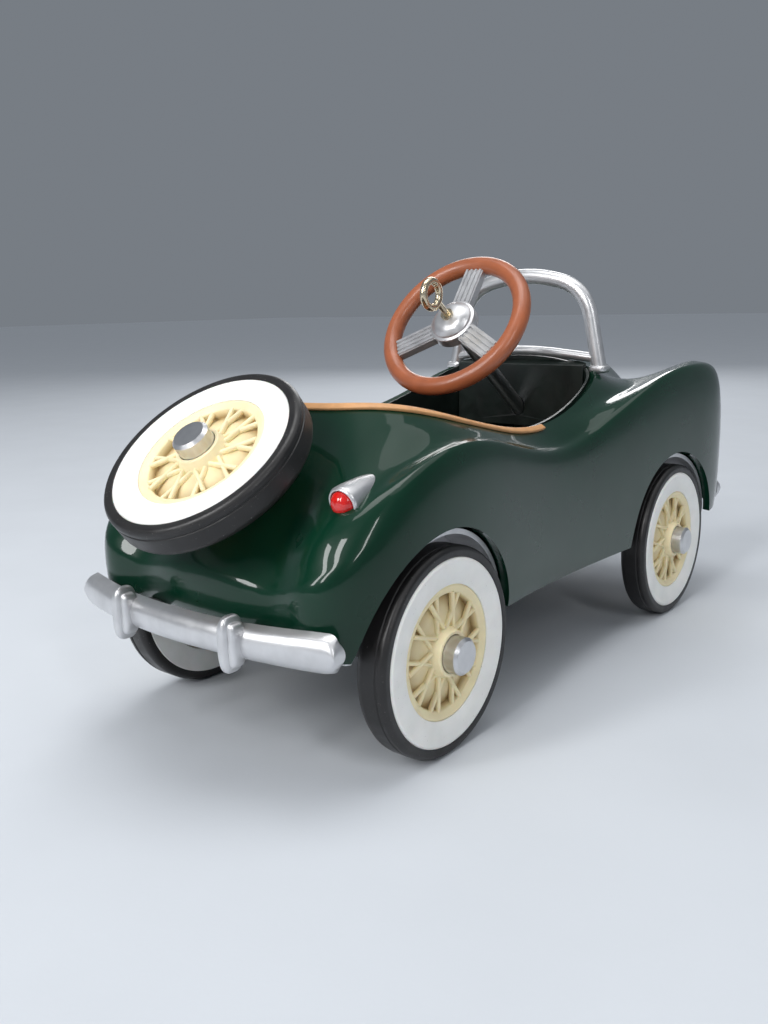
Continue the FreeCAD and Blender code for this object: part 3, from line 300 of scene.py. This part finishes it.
def softened(corners, steps=5):
    """A closed outline whose corners (x, y, rounding) are rounded off."""
    points = []
    for index, (x, y, rounding) in enumerate(corners):
        corner = Vector((x, y))
        before = Vector(corners[index - 1][:2]) - corner
        after = Vector(corners[(index + 1) % len(corners)][:2]) - corner
        reach = min(rounding, before.length * 0.45, after.length * 0.45)
        if reach <= 0:
            points.append(corner)
            continue
        start = corner + before.normalized() * reach
        end = corner + after.normalized() * reach
        for step in range(steps + 1):
            k = step / steps
            points.append(start * (1 - k) ** 2 + corner * 2 * k * (1 - k) + end * k ** 2)
    return points


def skin(mesh, rings):
    """Four-sided faces between each ring of vertices and the next."""
    for ring, following in zip(rings, rings[1:]):
        for index in range(len(ring)):
            mesh.faces.new((ring[index - 1], ring[index], following[index],
                            following[index - 1]))


def clean(mesh):
    """Joins the vertices that meet at a pole and drops the faces that collapse there."""
    bmesh.ops.remove_doubles(mesh, verts=mesh.verts[:], dist=SAME_POINT)
    bmesh.ops.dissolve_degenerate(mesh, edges=mesh.edges[:], dist=SAME_POINT / 10)


def lathe(mesh, outline, turns=144):
    """Turns a closed outline of (radius, height) in millimetres round local Z."""
    rings = []
    for turn in range(turns):
        angle = math.tau * turn / turns
        rings.append([mesh.verts.new((p.x * math.cos(angle) * MM, p.x * math.sin(angle) * MM,
                                      p.y * MM)) for p in outline])
    skin(mesh, rings + rings[:1])
    clean(mesh)


def bar_along(mesh, centres, half_width, half_height, sides=12):
    """A round-backed bar through the centres, closed at both ends, millimetres."""
    rings = []
    for index, centre in enumerate(centres):
        ahead = centres[min(index + 1, len(centres) - 1)]
        behind = centres[max(index - 1, 0)]
        across = UP.cross(ahead - behind).normalized()
        ring = []
        for side in range(sides):
            angle = math.tau * side / sides
            spot = (centre + across * half_width * math.cos(angle)
                    + UP * half_height * math.sin(angle))
            ring.append(mesh.verts.new(spot * MM))
        rings.append(ring)
    skin(mesh, rings)
    mesh.faces.new(rings[0])
    mesh.faces.new(rings[-1])


def mesh_of(name, *builders):
    """Mesh data made by running each builder on one bmesh."""
    mesh = bmesh.new()
    for build in builders:
        build(mesh)
    bmesh.ops.recalc_face_normals(mesh, faces=mesh.faces[:])
    data = bpy.data.meshes.new(name)
    mesh.to_mesh(data)
    mesh.free()
    smooth(data)
    data.set_sharp_from_angle(angle=SHARP_ANGLE)
    return data


def smooth(data):
    for polygon in data.polygons:
        polygon.use_smooth = True


def placed(name, data):
    """A new object with this data, linked into the scene."""
    made = bpy.data.objects.new(name, data)
    bpy.context.scene.collection.objects.link(made)
    return made


def even_normals(piece):
    normals = piece.modifiers.new("EvenNormals", "WEIGHTED_NORMAL")
    normals.keep_sharp = True


def box_of(node):
    """The low and high corners of a CAD node's box, metres."""
    return tuple(Vector(corner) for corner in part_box(node))


def centre_of(node):
    low, high = box_of(node)
    return (low + high) / 2


def joint_frame(name):
    """The matrix that puts local Z on a joint's axis and the origin at its place."""
    joint = next(j for j in frame["joints"] if j["name"] == name)
    turn = UP.rotation_difference(Vector(joint["axis"]))
    return Matrix.Translation(Vector(joint["pos_m"])) @ turn.to_matrix().to_4x4()


def add_piece(name, data, body, slot, stands_for, matrix):
    """A visible piece that rides on a body and wears its slot's material."""
    piece = placed(name, data)
    piece.matrix_world = matrix
    if not data.materials:
        data.materials.append(MATERIALS[slot])
    even_normals(piece)
    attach(piece, body)
    if stands_for:
        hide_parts(*stands_for)
    return piece


# ---------------------------------------------------------------- wheels

TYRE_RADIUS, GROOVE_RADIUS, WHITEWALL_RADIUS, DISC_RADIUS = 12.15, 12.03, 10.9, 7.8
BORE_RADIUS, HUB_RADIUS, FIELD_RADIUS = 1.06, 2.6, 6.6
HUB_LEVEL, FLOOR_AT_HUB, POCKET_FLOOR = -0.5, -1.15, -1.85
CAP_CLEAR, COLLAR_LEVEL = 2.22, 0.25
WIRE_LEVEL, WIRE_DROP, WIRE_LAYERS = -0.98, 0.10, ((0.10, 1), (-0.04, -1))
WIRE_COUNT, WIRE_LEAN, WIRE_STEPS = 10, math.radians(24), 6
WIRE_HALF_WIDTH, WIRE_HALF_HEIGHT = 0.26, 0.36
WHEEL_FACE = 21.9

# Outlines are (radius, height, rounding); height 0 is the wheel's outer face.
TYRE = [(WHITEWALL_RADIUS, -0.15, 0.05), (11.75, -0.10, 0.3), (TYRE_RADIUS, -0.55, 0.4),
        (TYRE_RADIUS, -1.02, 0.04), (GROOVE_RADIUS, -1.10, 0.04), (GROOVE_RADIUS, -1.26, 0.04),
        (TYRE_RADIUS, -1.34, 0.04), (TYRE_RADIUS, -3.30, 0.5), (11.75, -3.95, 0.3),
        (WHITEWALL_RADIUS, -3.95, 0.05)]
WHITEWALL = [(DISC_RADIUS, -0.42, 0.05), (8.9, -0.16, 0.6), (10.55, 0.0, 0.25),
             (WHITEWALL_RADIUS, -0.22, 0.2), (WHITEWALL_RADIUS, -4.0, 0.15),
             (DISC_RADIUS, -4.0, 0.15)]
DISH = [(BORE_RADIUS, HUB_LEVEL, 0.08), (CAP_CLEAR, HUB_LEVEL, 0.02),
        (CAP_CLEAR, COLLAR_LEVEL, 0.08), (HUB_RADIUS, COLLAR_LEVEL, 0.15),
        (HUB_RADIUS + 0.45, FLOOR_AT_HUB, 0.25), (5.2, -1.35, 0.8),
        (FIELD_RADIUS, POCKET_FLOOR, 0.12), (FIELD_RADIUS + 0.12, -0.85, 0.2),
        (DISC_RADIUS - 0.25, -0.42, 0.3), (DISC_RADIUS, -0.55, 0.1),
        (DISC_RADIUS, -3.5, 0.2), (BORE_RADIUS, -3.5, 0.1)]


def wires(mesh):
    """Two layers of wires that lean opposite ways from the hub to the rim."""
    for layer, way in WIRE_LAYERS:
        for count in range(WIRE_COUNT):
            start_angle = math.tau * count / WIRE_COUNT
            end_angle = start_angle + WIRE_LEAN * way
            start = Vector((math.cos(start_angle), math.sin(start_angle), 0)) * (HUB_RADIUS - 0.2)
            end = Vector((math.cos(end_angle), math.sin(end_angle), 0)) * (FIELD_RADIUS + 0.25)
            centres = []
            for step in range(WIRE_STEPS + 1):
                k = step / WIRE_STEPS
                spot = start.lerp(end, k)
                spot.z = WIRE_LEVEL + layer - WIRE_DROP * k
                centres.append(spot)
            bar_along(mesh, centres, WIRE_HALF_WIDTH, WIRE_HALF_HEIGHT)


def wheel_frame(side, y, z):
    """The matrix that stands a wheel's local +Z along the axle, away from the car."""
    turn = Quaternion((0, 1, 0), math.radians(90) * side)
    return Matrix.Translation((side * WHEEL_FACE * MM, y, z)) @ turn.to_matrix().to_4x4()


def wheels():
    shapes = {
        "tyre": (mesh_of("tyre", lambda m: lathe(m, softened(TYRE))), "tyre_black"),
        "whitewall": (mesh_of("whitewall", lambda m: lathe(m, softened(WHITEWALL))),
                      "whitewall"),
        "spoke_disc": (mesh_of("disc", lambda m: lathe(m, softened(DISH)), wires),
                       "cream_disc"),
    }
    places = {"spare": joint_frame("spare_wheel_spin")}
    for end in ("front", "rear"):
        for side_name, side in SIDES:
            hub = centre_of(f"tyre_{end}_{side_name}")
            places[f"{end}_{side_name}"] = wheel_frame(side, hub.y, hub.z)
    for wheel, matrix in places.items():
        for piece, (data, slot) in shapes.items():
            add_piece(f"{piece}_{wheel}_look", data, f"wheel_{wheel}", slot,
                      (f"{piece}_{wheel}",), matrix)


# ---------------------------------------------------------------- steering boss and lamps

def steering_boss():
    """The stepped round boss that holds the hanging eye."""
    outline = [(0, 0.5, 0), (3.5, 0.5, 0.05), (3.5, 0.95, 0.15), (3.05, 1.05, 0.08),
               (3.05, 1.30, 0.10), (2.2, 2.05, 1.0), (0.9, 2.32, 0.6), (0, 2.34, 0)]
    data = mesh_of("boss", lambda m: lathe(m, softened(outline), 96))
    add_piece("steering_boss", data, "steering", "silver_paint", ("steering_hub_button",),
              joint_frame("steering_turn"))


FLUTE_DEPTH, FLUTE_PITCH = 0.035, 0.62
GLASS_SETBACK = 0.65


def headlamps():
    """A mirror bowl, a bulb and a fluted glass in each headlight ring."""
    low, high = box_of("headlight_lenses")
    radius = (high.z - low.z) / 2 / MM
    bowl = [(0, -2.3, 0), (0.5, -2.3, 0.1), (radius * 0.66, -1.75, 0.8),
            (radius - 0.05, -0.5, 0.2), (radius - 0.05, -0.35, 0.02),
            (radius - 0.2, -0.35, 0.02), (radius * 0.62, -1.55, 0.8), (0.4, -2.1, 0.1),
            (0, -2.1, 0)]
    bulb = [(0, -2.05, 0), (0.35, -2.05, 0.05), (0.42, -1.5, 0.3), (0.2, -0.95, 0.2),
            (0, -0.9, 0)]
    glass = [(0, 0.55, 0), (radius * 0.6, 0.38, 0.9), (radius - 0.03, -0.1, 0.3),
             (radius - 0.03, -0.3, 0.05), (radius * 0.6, 0.1, 0.9), (0, 0.25, 0)]

    def fluted(mesh):
        lathe(mesh, softened(glass), 96)
        for vertex in mesh.verts:
            wave = math.cos(vertex.co.x / MM * math.tau / FLUTE_PITCH)
            vertex.co.z += FLUTE_DEPTH * MM * wave

    bowl_data = mesh_of("bowl", lambda m: lathe(m, softened(bowl), 96))
    bulb_data = mesh_of("bulb", lambda m: lathe(m, softened(bulb), 48))
    glass_data = mesh_of("glass", fluted)
    bowl_data.materials.append(lamp_mirror())
    face_forward = Quaternion((1, 0, 0), math.radians(90)).to_matrix().to_4x4()
    for side_name, side in SIDES:
        x = side * (high.x - radius * MM)
        place = (x, low.y + GLASS_SETBACK * MM, (low.z + high.z) / 2)
        spot = Matrix.Translation(place) @ face_forward
        stands = ("headlight_lenses",) if side > 0 else ()
        for label, data, slot, replaced in (("glass", glass_data, "clear_lens", stands),
                                            ("bowl", bowl_data, "steel", ()),
                                            ("bulb", bulb_data, "clear_lens", ())):
            add_piece(f"headlamp_{label}_{side_name}", data, "car", slot, replaced, spot)


# ---------------------------------------------------------------- screen frame

BAR_HALF, BAR_HALF_DEPTH = 1.15, 1.05
RAIL_HALF, RAIL_HALF_DEPTH, RAIL_INSET = 0.72, 0.9, 0.5
RAIL_DROP, RAIL_TOP_GAP = 1.3, 12.7
ARCH_LEAN, ARCH_SHOULDER, ARCH_CROWN = 2.6, 2.1, 0.15
ARCH_CORNER, ARCH_TOP_ROUND, RAIL_ROUND = 6.4, 5.0, 7.0
FOOT_HALF, FOOT_BULGE, FOOT_RISE = (1.45, 0.65, 1.4), 0.6, 0.9


def screen_frame():
    """A round bar bent into an arch, a lower rail, and a foot at each end.

    Drawn in the local XY plane, which a quarter turn then stands upright.
    """
    low, high = box_of("windshield_frame")
    half = (high.x - low.x) / 2 / MM - BAR_HALF
    crown = -BAR_HALF
    rail = -RAIL_TOP_GAP
    foot = (low.z - high.z) / MM + FOOT_RISE
    shoulder = crown - ARCH_SHOULDER
    arch = [(-half, foot, 0), (-half + ARCH_LEAN, shoulder, ARCH_CORNER),
            (0, crown + ARCH_CROWN, ARCH_TOP_ROUND),
            (half - ARCH_LEAN, shoulder, ARCH_CORNER), (half, foot, 0)]
    rail_end = half - RAIL_INSET
    sill = [(-rail_end, rail - RAIL_DROP, 0), (0, rail, RAIL_ROUND),
            (rail_end, rail - RAIL_DROP, 0)]

    def build(mesh):
        for line, half_width, half_depth, sides in (
                (arch, BAR_HALF, BAR_HALF_DEPTH, 20), (sill, RAIL_HALF, RAIL_HALF_DEPTH, 16)):
            centres = [Vector((p.x, p.y, 0)) for p in softened(line, 12)]
            bar_along(mesh, centres, half_width, half_depth, sides)
        for side in (-1, 1):
            rounded_block(mesh, (side * half, foot + 0.1, 0), FOOT_HALF, FOOT_BULGE)

    upright = Matrix.Rotation(math.pi / 2, 4, "X")
    spot = Matrix.Translation((0, (low.y + high.y) / 2, high.z)) @ upright
    add_piece("screen_frame", mesh_of("screen_frame", build), "car", "silver_paint",
              ("windshield_frame",), spot)


# ---------------------------------------------------------------- tail lamps

TAIL_LAMP_TILT = math.radians(16)
TAIL_LAMP_SETBACK = 1.25


def tail_lamps():
    """A silver teardrop that lies along each fender, with a domed red lens at its round end."""
    low, high = box_of("taillight_lenses")
    radius = (high.z - low.z) / 2
    housing = [(0, -6.6, 0), (0.75, -6.2, 0.5), (1.45, -3.9, 1.4), (1.86, -1.0, 1.0),
               (1.90, -0.15, 0.15), (1.72, 0.12, 0.1), (1.52, 0.12, 0.06),
               (1.46, -0.3, 0.02), (0, -0.3, 0)]
    lens = [(0, 1.12, 0), (0.95, 0.86, 0.7), (1.42, 0.12, 0.3), (1.42, -0.28, 0.02),
            (0, -0.28, 0)]
    housing_data = mesh_of("tail_housing", lambda m: lathe(m, softened(housing), 72))
    lens_data = mesh_of("tail_lens", lambda m: lathe(m, softened(lens), 72))
    tilt = Matrix.Rotation(-math.pi / 2 - TAIL_LAMP_TILT, 4, "X")
    for side_name, side in SIDES:
        x = side * (high.x - radius)
        place = (x, high.y - TAIL_LAMP_SETBACK * MM, (low.z + high.z) / 2)
        spot = Matrix.Translation(place) @ tilt
        for label, data, slot, node in (
                ("lamp", housing_data, "silver_paint", "taillight_housings"),
                ("lens", lens_data, "red_lens", "taillight_lenses")):
            stands = (node,) if side > 0 else ()
            add_piece(f"tail_{label}_{side_name}", data, "car", slot, stands, spot)


# ---------------------------------------------------------------- bumpers

BUMPER_RADIUS, BUMPER_HALF, BUMPER_HEIGHT, BUMPER_DEPTH = 66.0, 20.6, 4.1, 1.7
BUMPER_STATIONS, END_ROUND = 72, 1.6
NARROW_SHARE, FLARE_SHARE, FLARE_START, FLARE_RUN = 0.92, 0.10, 9.0, 8.0
END_HEIGHT_SHARE, END_DEPTH_SHARE = 0.05, 0.35
FACE_STEPS, FACE_SQUARENESS, FACE_FULLNESS = 16, 2.5, 2.1
BACK_HOLLOW, BACK_LEVELS = 0.45, (0.75, 0.0, -0.75)
GUARD_INSET = 1.7


def bumper_bar(mesh):
    """A pressed bar: bowed in plan, crowned across its face, its ends drawn in and rounded.

    Local +Y points away from the car and the crown's middle is at the origin.
    """
    rings = []
    for station in range(BUMPER_STATIONS + 1):
        x = -BUMPER_HALF * math.cos(math.pi * station / BUMPER_STATIONS)
        from_end = (BUMPER_HALF - abs(x)) / END_ROUND
        fullness = math.sqrt(max(0.0, 1 - max(0.0, 1 - from_end) ** 2))
        flare = min(1.0, max(0.0, (abs(x) - FLARE_START) / FLARE_RUN))
        height = (BUMPER_HEIGHT * (END_HEIGHT_SHARE + (1 - END_HEIGHT_SHARE) * fullness)
                  * (NARROW_SHARE + FLARE_SHARE * flare))
        depth = BUMPER_DEPTH * (END_DEPTH_SHARE + (1 - END_DEPTH_SHARE) * fullness)
        face = math.sqrt(BUMPER_RADIUS ** 2 - x * x) - BUMPER_RADIUS
        ring = []
        for step in range(FACE_STEPS + 1):
            k = -1 + 2 * step / FACE_STEPS
            crown = (1 - abs(k) ** FACE_SQUARENESS) ** (1 / FACE_FULLNESS)
            ring.append((face - depth + depth * crown, k * height / 2))
        back = face - BUMPER_DEPTH
        for k in BACK_LEVELS:
            ring.append((back + BACK_HOLLOW * (1 - abs(k)) * fullness, k * height / 2))
        rings.append([mesh.verts.new((x * MM, y * MM, z * MM)) for y, z in ring])
    skin(mesh, rings)
    mesh.faces.new(rings[0])
    mesh.faces.new(rings[-1])


def rounded_block(mesh, centre, half, power, turns=40, rows=26):
    """A superellipsoid: a block whose faces bulge and whose corners are round, millimetres."""
    def bent(value):
        return math.copysign(abs(value) ** power, value)

    rings = []
    for row in range(rows + 1):
        rise = -math.pi / 2 + math.pi * row / rows
        ring = []
        for turn in range(turns):
            angle = math.tau * turn / turns
            shape = Vector((bent(math.cos(rise)) * bent(math.cos(angle)) * half[0],
                            bent(math.cos(rise)) * bent(math.sin(angle)) * half[1],
                            bent(math.sin(rise)) * half[2]))
            ring.append(mesh.verts.new((Vector(centre) + shape) * MM))
        rings.append(ring)
    skin(mesh, rings)
    clean(mesh)


def overrider(mesh):
    """An upright ridge over a collar that wraps the bar; local +Y points off the car."""
    rounded_block(mesh, (0, -0.75, 0), half=(1.35, 1.0, 2.45), power=0.42)
    rounded_block(mesh, (0, -0.70, 0), half=(0.68, 1.5, 3.10), power=0.60)


def bumpers():
    data = mesh_of("bumper_bar", bumper_bar)
    guard = mesh_of("overrider", overrider)
    for label, way in (("rear", 1), ("front", -1)):
        low, high = box_of(f"{label}_bumper")
        face = high.y if way > 0 else low.y
        turn = Matrix.Identity(4) if way > 0 else Matrix.Rotation(math.pi, 4, "Z")
        spot = Matrix.Translation((0, face, (low.z + high.z) / 2)) @ turn
        add_piece(f"{label}_bumper_bar", data, "car", "silver_paint", (f"{label}_bumper",), spot)
        spread = box_of(f"{label}_overriders")[1].x - GUARD_INSET * MM
        for side_name, side in SIDES:
            place = Matrix.Translation((side * spread, face, (low.z + high.z) / 2)) @ turn
            stands = (f"{label}_overriders",) if side > 0 else ()
            add_piece(f"{label}_overrider_{side_name}", guard, "car", "silver_paint", stands,
                      place)


# ---------------------------------------------------------------- padded seat

# The pads are worked at 20 times their size, because cloth is unsteady at a few millimetres.
ENLARGED = 20.0
VOXEL = 9 * MM
SWELL_CAP = 6 * MM
START_INSET = 5 * MM
PRESSURE, CLOTH_FRAMES, CLOTH_QUALITY = 4.0, 20, 5
PLEAT_PITCH, PLEAT_DEPTH, PLEAT_NARROWNESS = 3.4, 14 * MM, 4
PLEAT_REACH, PLEAT_END = 30 * MM, 25 * MM
BACK_LEAN = math.radians(8)


def inflate(piece):
    """Swells the pad with cloth pressure, and keeps each point near where it began."""
    start = [vertex.co.copy() for vertex in piece.data.vertices]
    cloth = piece.modifiers.new("Swell", "CLOTH")
    cloth.settings.use_pressure = True
    cloth.settings.uniform_pressure_force = PRESSURE
    cloth.settings.quality = CLOTH_QUALITY
    cloth.settings.effector_weights.gravity = 0.0
    scene = bpy.context.scene
    for step in range(1, CLOTH_FRAMES + 1):
        scene.frame_set(step)
    graph = bpy.context.evaluated_depsgraph_get()
    swollen = bpy.data.meshes.new_from_object(piece.evaluated_get(graph))
    piece.modifiers.remove(cloth)
    scene.frame_set(1)
    for vertex, old, new in zip(piece.data.vertices, start, swollen.vertices):
        move = new.co - old
        if move.length > SWELL_CAP:
            move = move.normalized() * SWELL_CAP
        vertex.co = old + move
    bpy.data.meshes.remove(swollen)


def apply_modifier(piece, kind, **settings):
    """Runs one modifier and keeps its result as the piece's mesh."""
    modifier = piece.modifiers.new(kind.title(), kind)
    for key, value in settings.items():
        setattr(modifier, key, value)
    graph = bpy.context.evaluated_depsgraph_get()
    result = bpy.data.meshes.new_from_object(piece.evaluated_get(graph))
    piece.modifiers.clear()
    piece.data = result


def sew_channels(piece, face):
    """Presses straight channels into the side of the pad that faces this way."""
    vertices = piece.data.vertices
    reach = max(abs(vertex.co.x) for vertex in vertices)
    top = max(vertex.co.dot(face) for vertex in vertices)
    for vertex in vertices:
        facing = max(0.0, vertex.normal.dot(face))
        level = max(0.0, 1 - (top - vertex.co.dot(face)) / PLEAT_REACH)
        edge = min(1.0, max(0.0, (reach - abs(vertex.co.x)) / PLEAT_END))
        wave = abs(math.cos(vertex.co.x / (PLEAT_PITCH * MM * ENLARGED) * math.pi))
        press = facing * level * edge * (1 - wave) ** PLEAT_NARROWNESS * PLEAT_DEPTH
        vertex.co -= face * press


def pad(name, node, face):
    """A stuffed leather pad with sewn channels, in the space of its CAD solid."""
    centre = centre_of(node)
    data = nodes[node].data.copy()
    for vertex in data.vertices:
        vertex.co = (vertex.co - centre) * ENLARGED
    piece = placed(name, data)
    apply_modifier(piece, "REMESH", mode="VOXEL", voxel_size=VOXEL)
    for vertex in piece.data.vertices:
        vertex.co -= vertex.normal * START_INSET
    inflate(piece)
    apply_modifier(piece, "SMOOTH", factor=0.5, iterations=3)
    apply_modifier(piece, "SUBSURF", levels=1)
    sew_channels(piece, face)
    for vertex in piece.data.vertices:
        vertex.co = vertex.co / ENLARGED + centre
    smooth(piece.data)
    piece.data.materials.clear()
    piece.data.materials.append(MATERIALS["tan_leather"])
    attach(piece, "car")
    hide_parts(node)


def seat():
    pad("seat_pad", "seat_cushion", UP)
    pad("seat_squab", "seat_back", Vector((0, -math.cos(BACK_LEAN), math.sin(BACK_LEAN))))


# ---------------------------------------------------------------- CAD nodes

MATERIALS = {
    make.__name__: make() for make in (
        body_green, silver_paint, bracket_steel, steel, tyre_black, whitewall, cream_disc,
        interior_black, tan_trim, tan_leather, rim_brown, eye_brass, red_lens, clear_lens)
}


# Edge rounds of the cast and moulded CAD nodes, millimetres.
SOFT_EDGES = {
    "rear_bumper_brackets": 0.2, "front_bumper_brackets": 0.2, "pedal_left": 0.2,
    "pedal_right": 0.2, "dashboard": 0.25, "grille": 0.10, "headlight_bezels": 0.18,
    "cockpit_trim": 0.15, "base_plate": 0.25, "pedal_brackets": 0.2, "column_foot": 0.3,
    "seat_base": 0.3,
}
WELD_REACH, BEVEL_ANGLE = 0.0005, math.radians(40)


def soften_edges(piece, width):
    """Cast or moulded corners: a small round on every sharp edge of a CAD node."""
    weld = piece.modifiers.new("Weld", "WELD")
    weld.merge_threshold = WELD_REACH * MM
    bevel = piece.modifiers.new("Round", "BEVEL")
    bevel.width = width * MM
    bevel.segments = 3
    bevel.limit_method = "ANGLE"
    bevel.angle_limit = BEVEL_ANGLE
    bevel.use_clamp_overlap = True
    even_normals(piece)


def finish_nodes():
    """Gives each CAD node its slot's material, smooth shading and soft corners."""
    for part in frame["record"]["subparts"]:
        piece = nodes[part["node"]]
        for slot in piece.material_slots:
            slot.material = MATERIALS[part["material_slot"]]
        smooth(piece.data)
        if part["node"] in SOFT_EDGES:
            soften_edges(piece, SOFT_EDGES[part["node"]])


# ---------------------------------------------------------------- studio

FLOOR_HALF = 3.0
SKY, SKY_STRENGTH = (0.66, 0.73, 0.82, 1), 0.28
SUN_STRENGTH, SUN_ANGLE = 0.50, math.radians(50)
SUN_TURN = (math.radians(18), math.radians(-14), 0)
CAR_MIDDLE = (0, 0, 0.025)

# Name, place (metres), width, height (metres) and power (watts).
SOFTBOXES = [
    ("overhead", (0.03, 0.02, 0.42), 0.20, 0.26, 0.60),
    ("window_near", (-0.04, 0.40, 0.30), 0.06, 0.26, 0.80),
    ("window_far", (0.12, 0.40, 0.26), 0.07, 0.24, 0.80),
    ("side", (-0.40, 0.22, 0.30), 0.04, 0.24, 0.40),
    ("front", (0.25, -0.42, 0.28), 0.20, 0.20, 0.60),
]
CAMERA_PLACE = Vector((-79.07, 115.2, 50.27))
CAMERA_HEADING, CAMERA_DIP, CAMERA_ROLL = (
    math.radians(angle) for angle in (38.95, 12.335, 1.15))
CAMERA_LENS, CAMERA_SENSOR, CAMERA_NEAR = 33.4, 36.0, 0.005


def floor():
    data = bpy.data.meshes.new("floor")
    mesh = bmesh.new()
    bmesh.ops.create_grid(mesh, x_segments=1, y_segments=1, size=FLOOR_HALF)
    mesh.to_mesh(data)
    mesh.free()
    plane = placed("floor", data)
    paper = Paint("paper", (0.60, 0.63, 0.67), 0.85).mottled(20, 0.012)
    data.materials.append(paper.grain(0.5, 0.01).done())


def softbox(name, spot, width, height, watts):
    """A rectangular light that faces the car."""
    light = bpy.data.lights.new(name, "AREA")
    light.shape = "RECTANGLE"
    light.size, light.size_y = width, height
    light.energy = watts
    holder = placed(name, light)
    holder.location = spot
    toward = Vector(CAR_MIDDLE) - Vector(spot)
    holder.rotation_euler = toward.to_track_quat("-Z", "Y").to_euler()


def studio():
    bpy.context.scene.view_settings.view_transform = "Standard"
    world = bpy.data.worlds.new("studio")
    bpy.context.scene.world = world
    world.use_nodes = True
    background = world.node_tree.nodes["Background"]
    background.inputs["Color"].default_value = SKY
    background.inputs["Strength"].default_value = SKY_STRENGTH
    sun = bpy.data.lights.new("skylight", "SUN")
    sun.energy = SUN_STRENGTH
    sun.angle = SUN_ANGLE
    placed("skylight", sun).rotation_euler = SUN_TURN
    for settings in SOFTBOXES:
        softbox(*settings)


def camera():
    """Behind and to the right of the car, a little above the spare wheel."""
    ahead = Vector((math.sin(CAMERA_HEADING) * math.cos(CAMERA_DIP),
                    -math.cos(CAMERA_HEADING) * math.cos(CAMERA_DIP), -math.sin(CAMERA_DIP)))
    turn = Quaternion(ahead, CAMERA_ROLL) @ ahead.to_track_quat("-Z", "Y")
    data = bpy.data.cameras.new("camera")
    data.sensor_width = CAMERA_SENSOR
    data.lens = CAMERA_LENS
    data.clip_start = CAMERA_NEAR
    eye = placed("camera", data)
    eye.rotation_mode = "QUATERNION"
    eye.location = CAMERA_PLACE * MM
    eye.rotation_quaternion = turn
    bpy.context.scene.camera = eye


finish_nodes()
wheels()
steering_boss()
headlamps()
screen_frame()
tail_lamps()
bumpers()
seat()
floor()
studio()
camera()
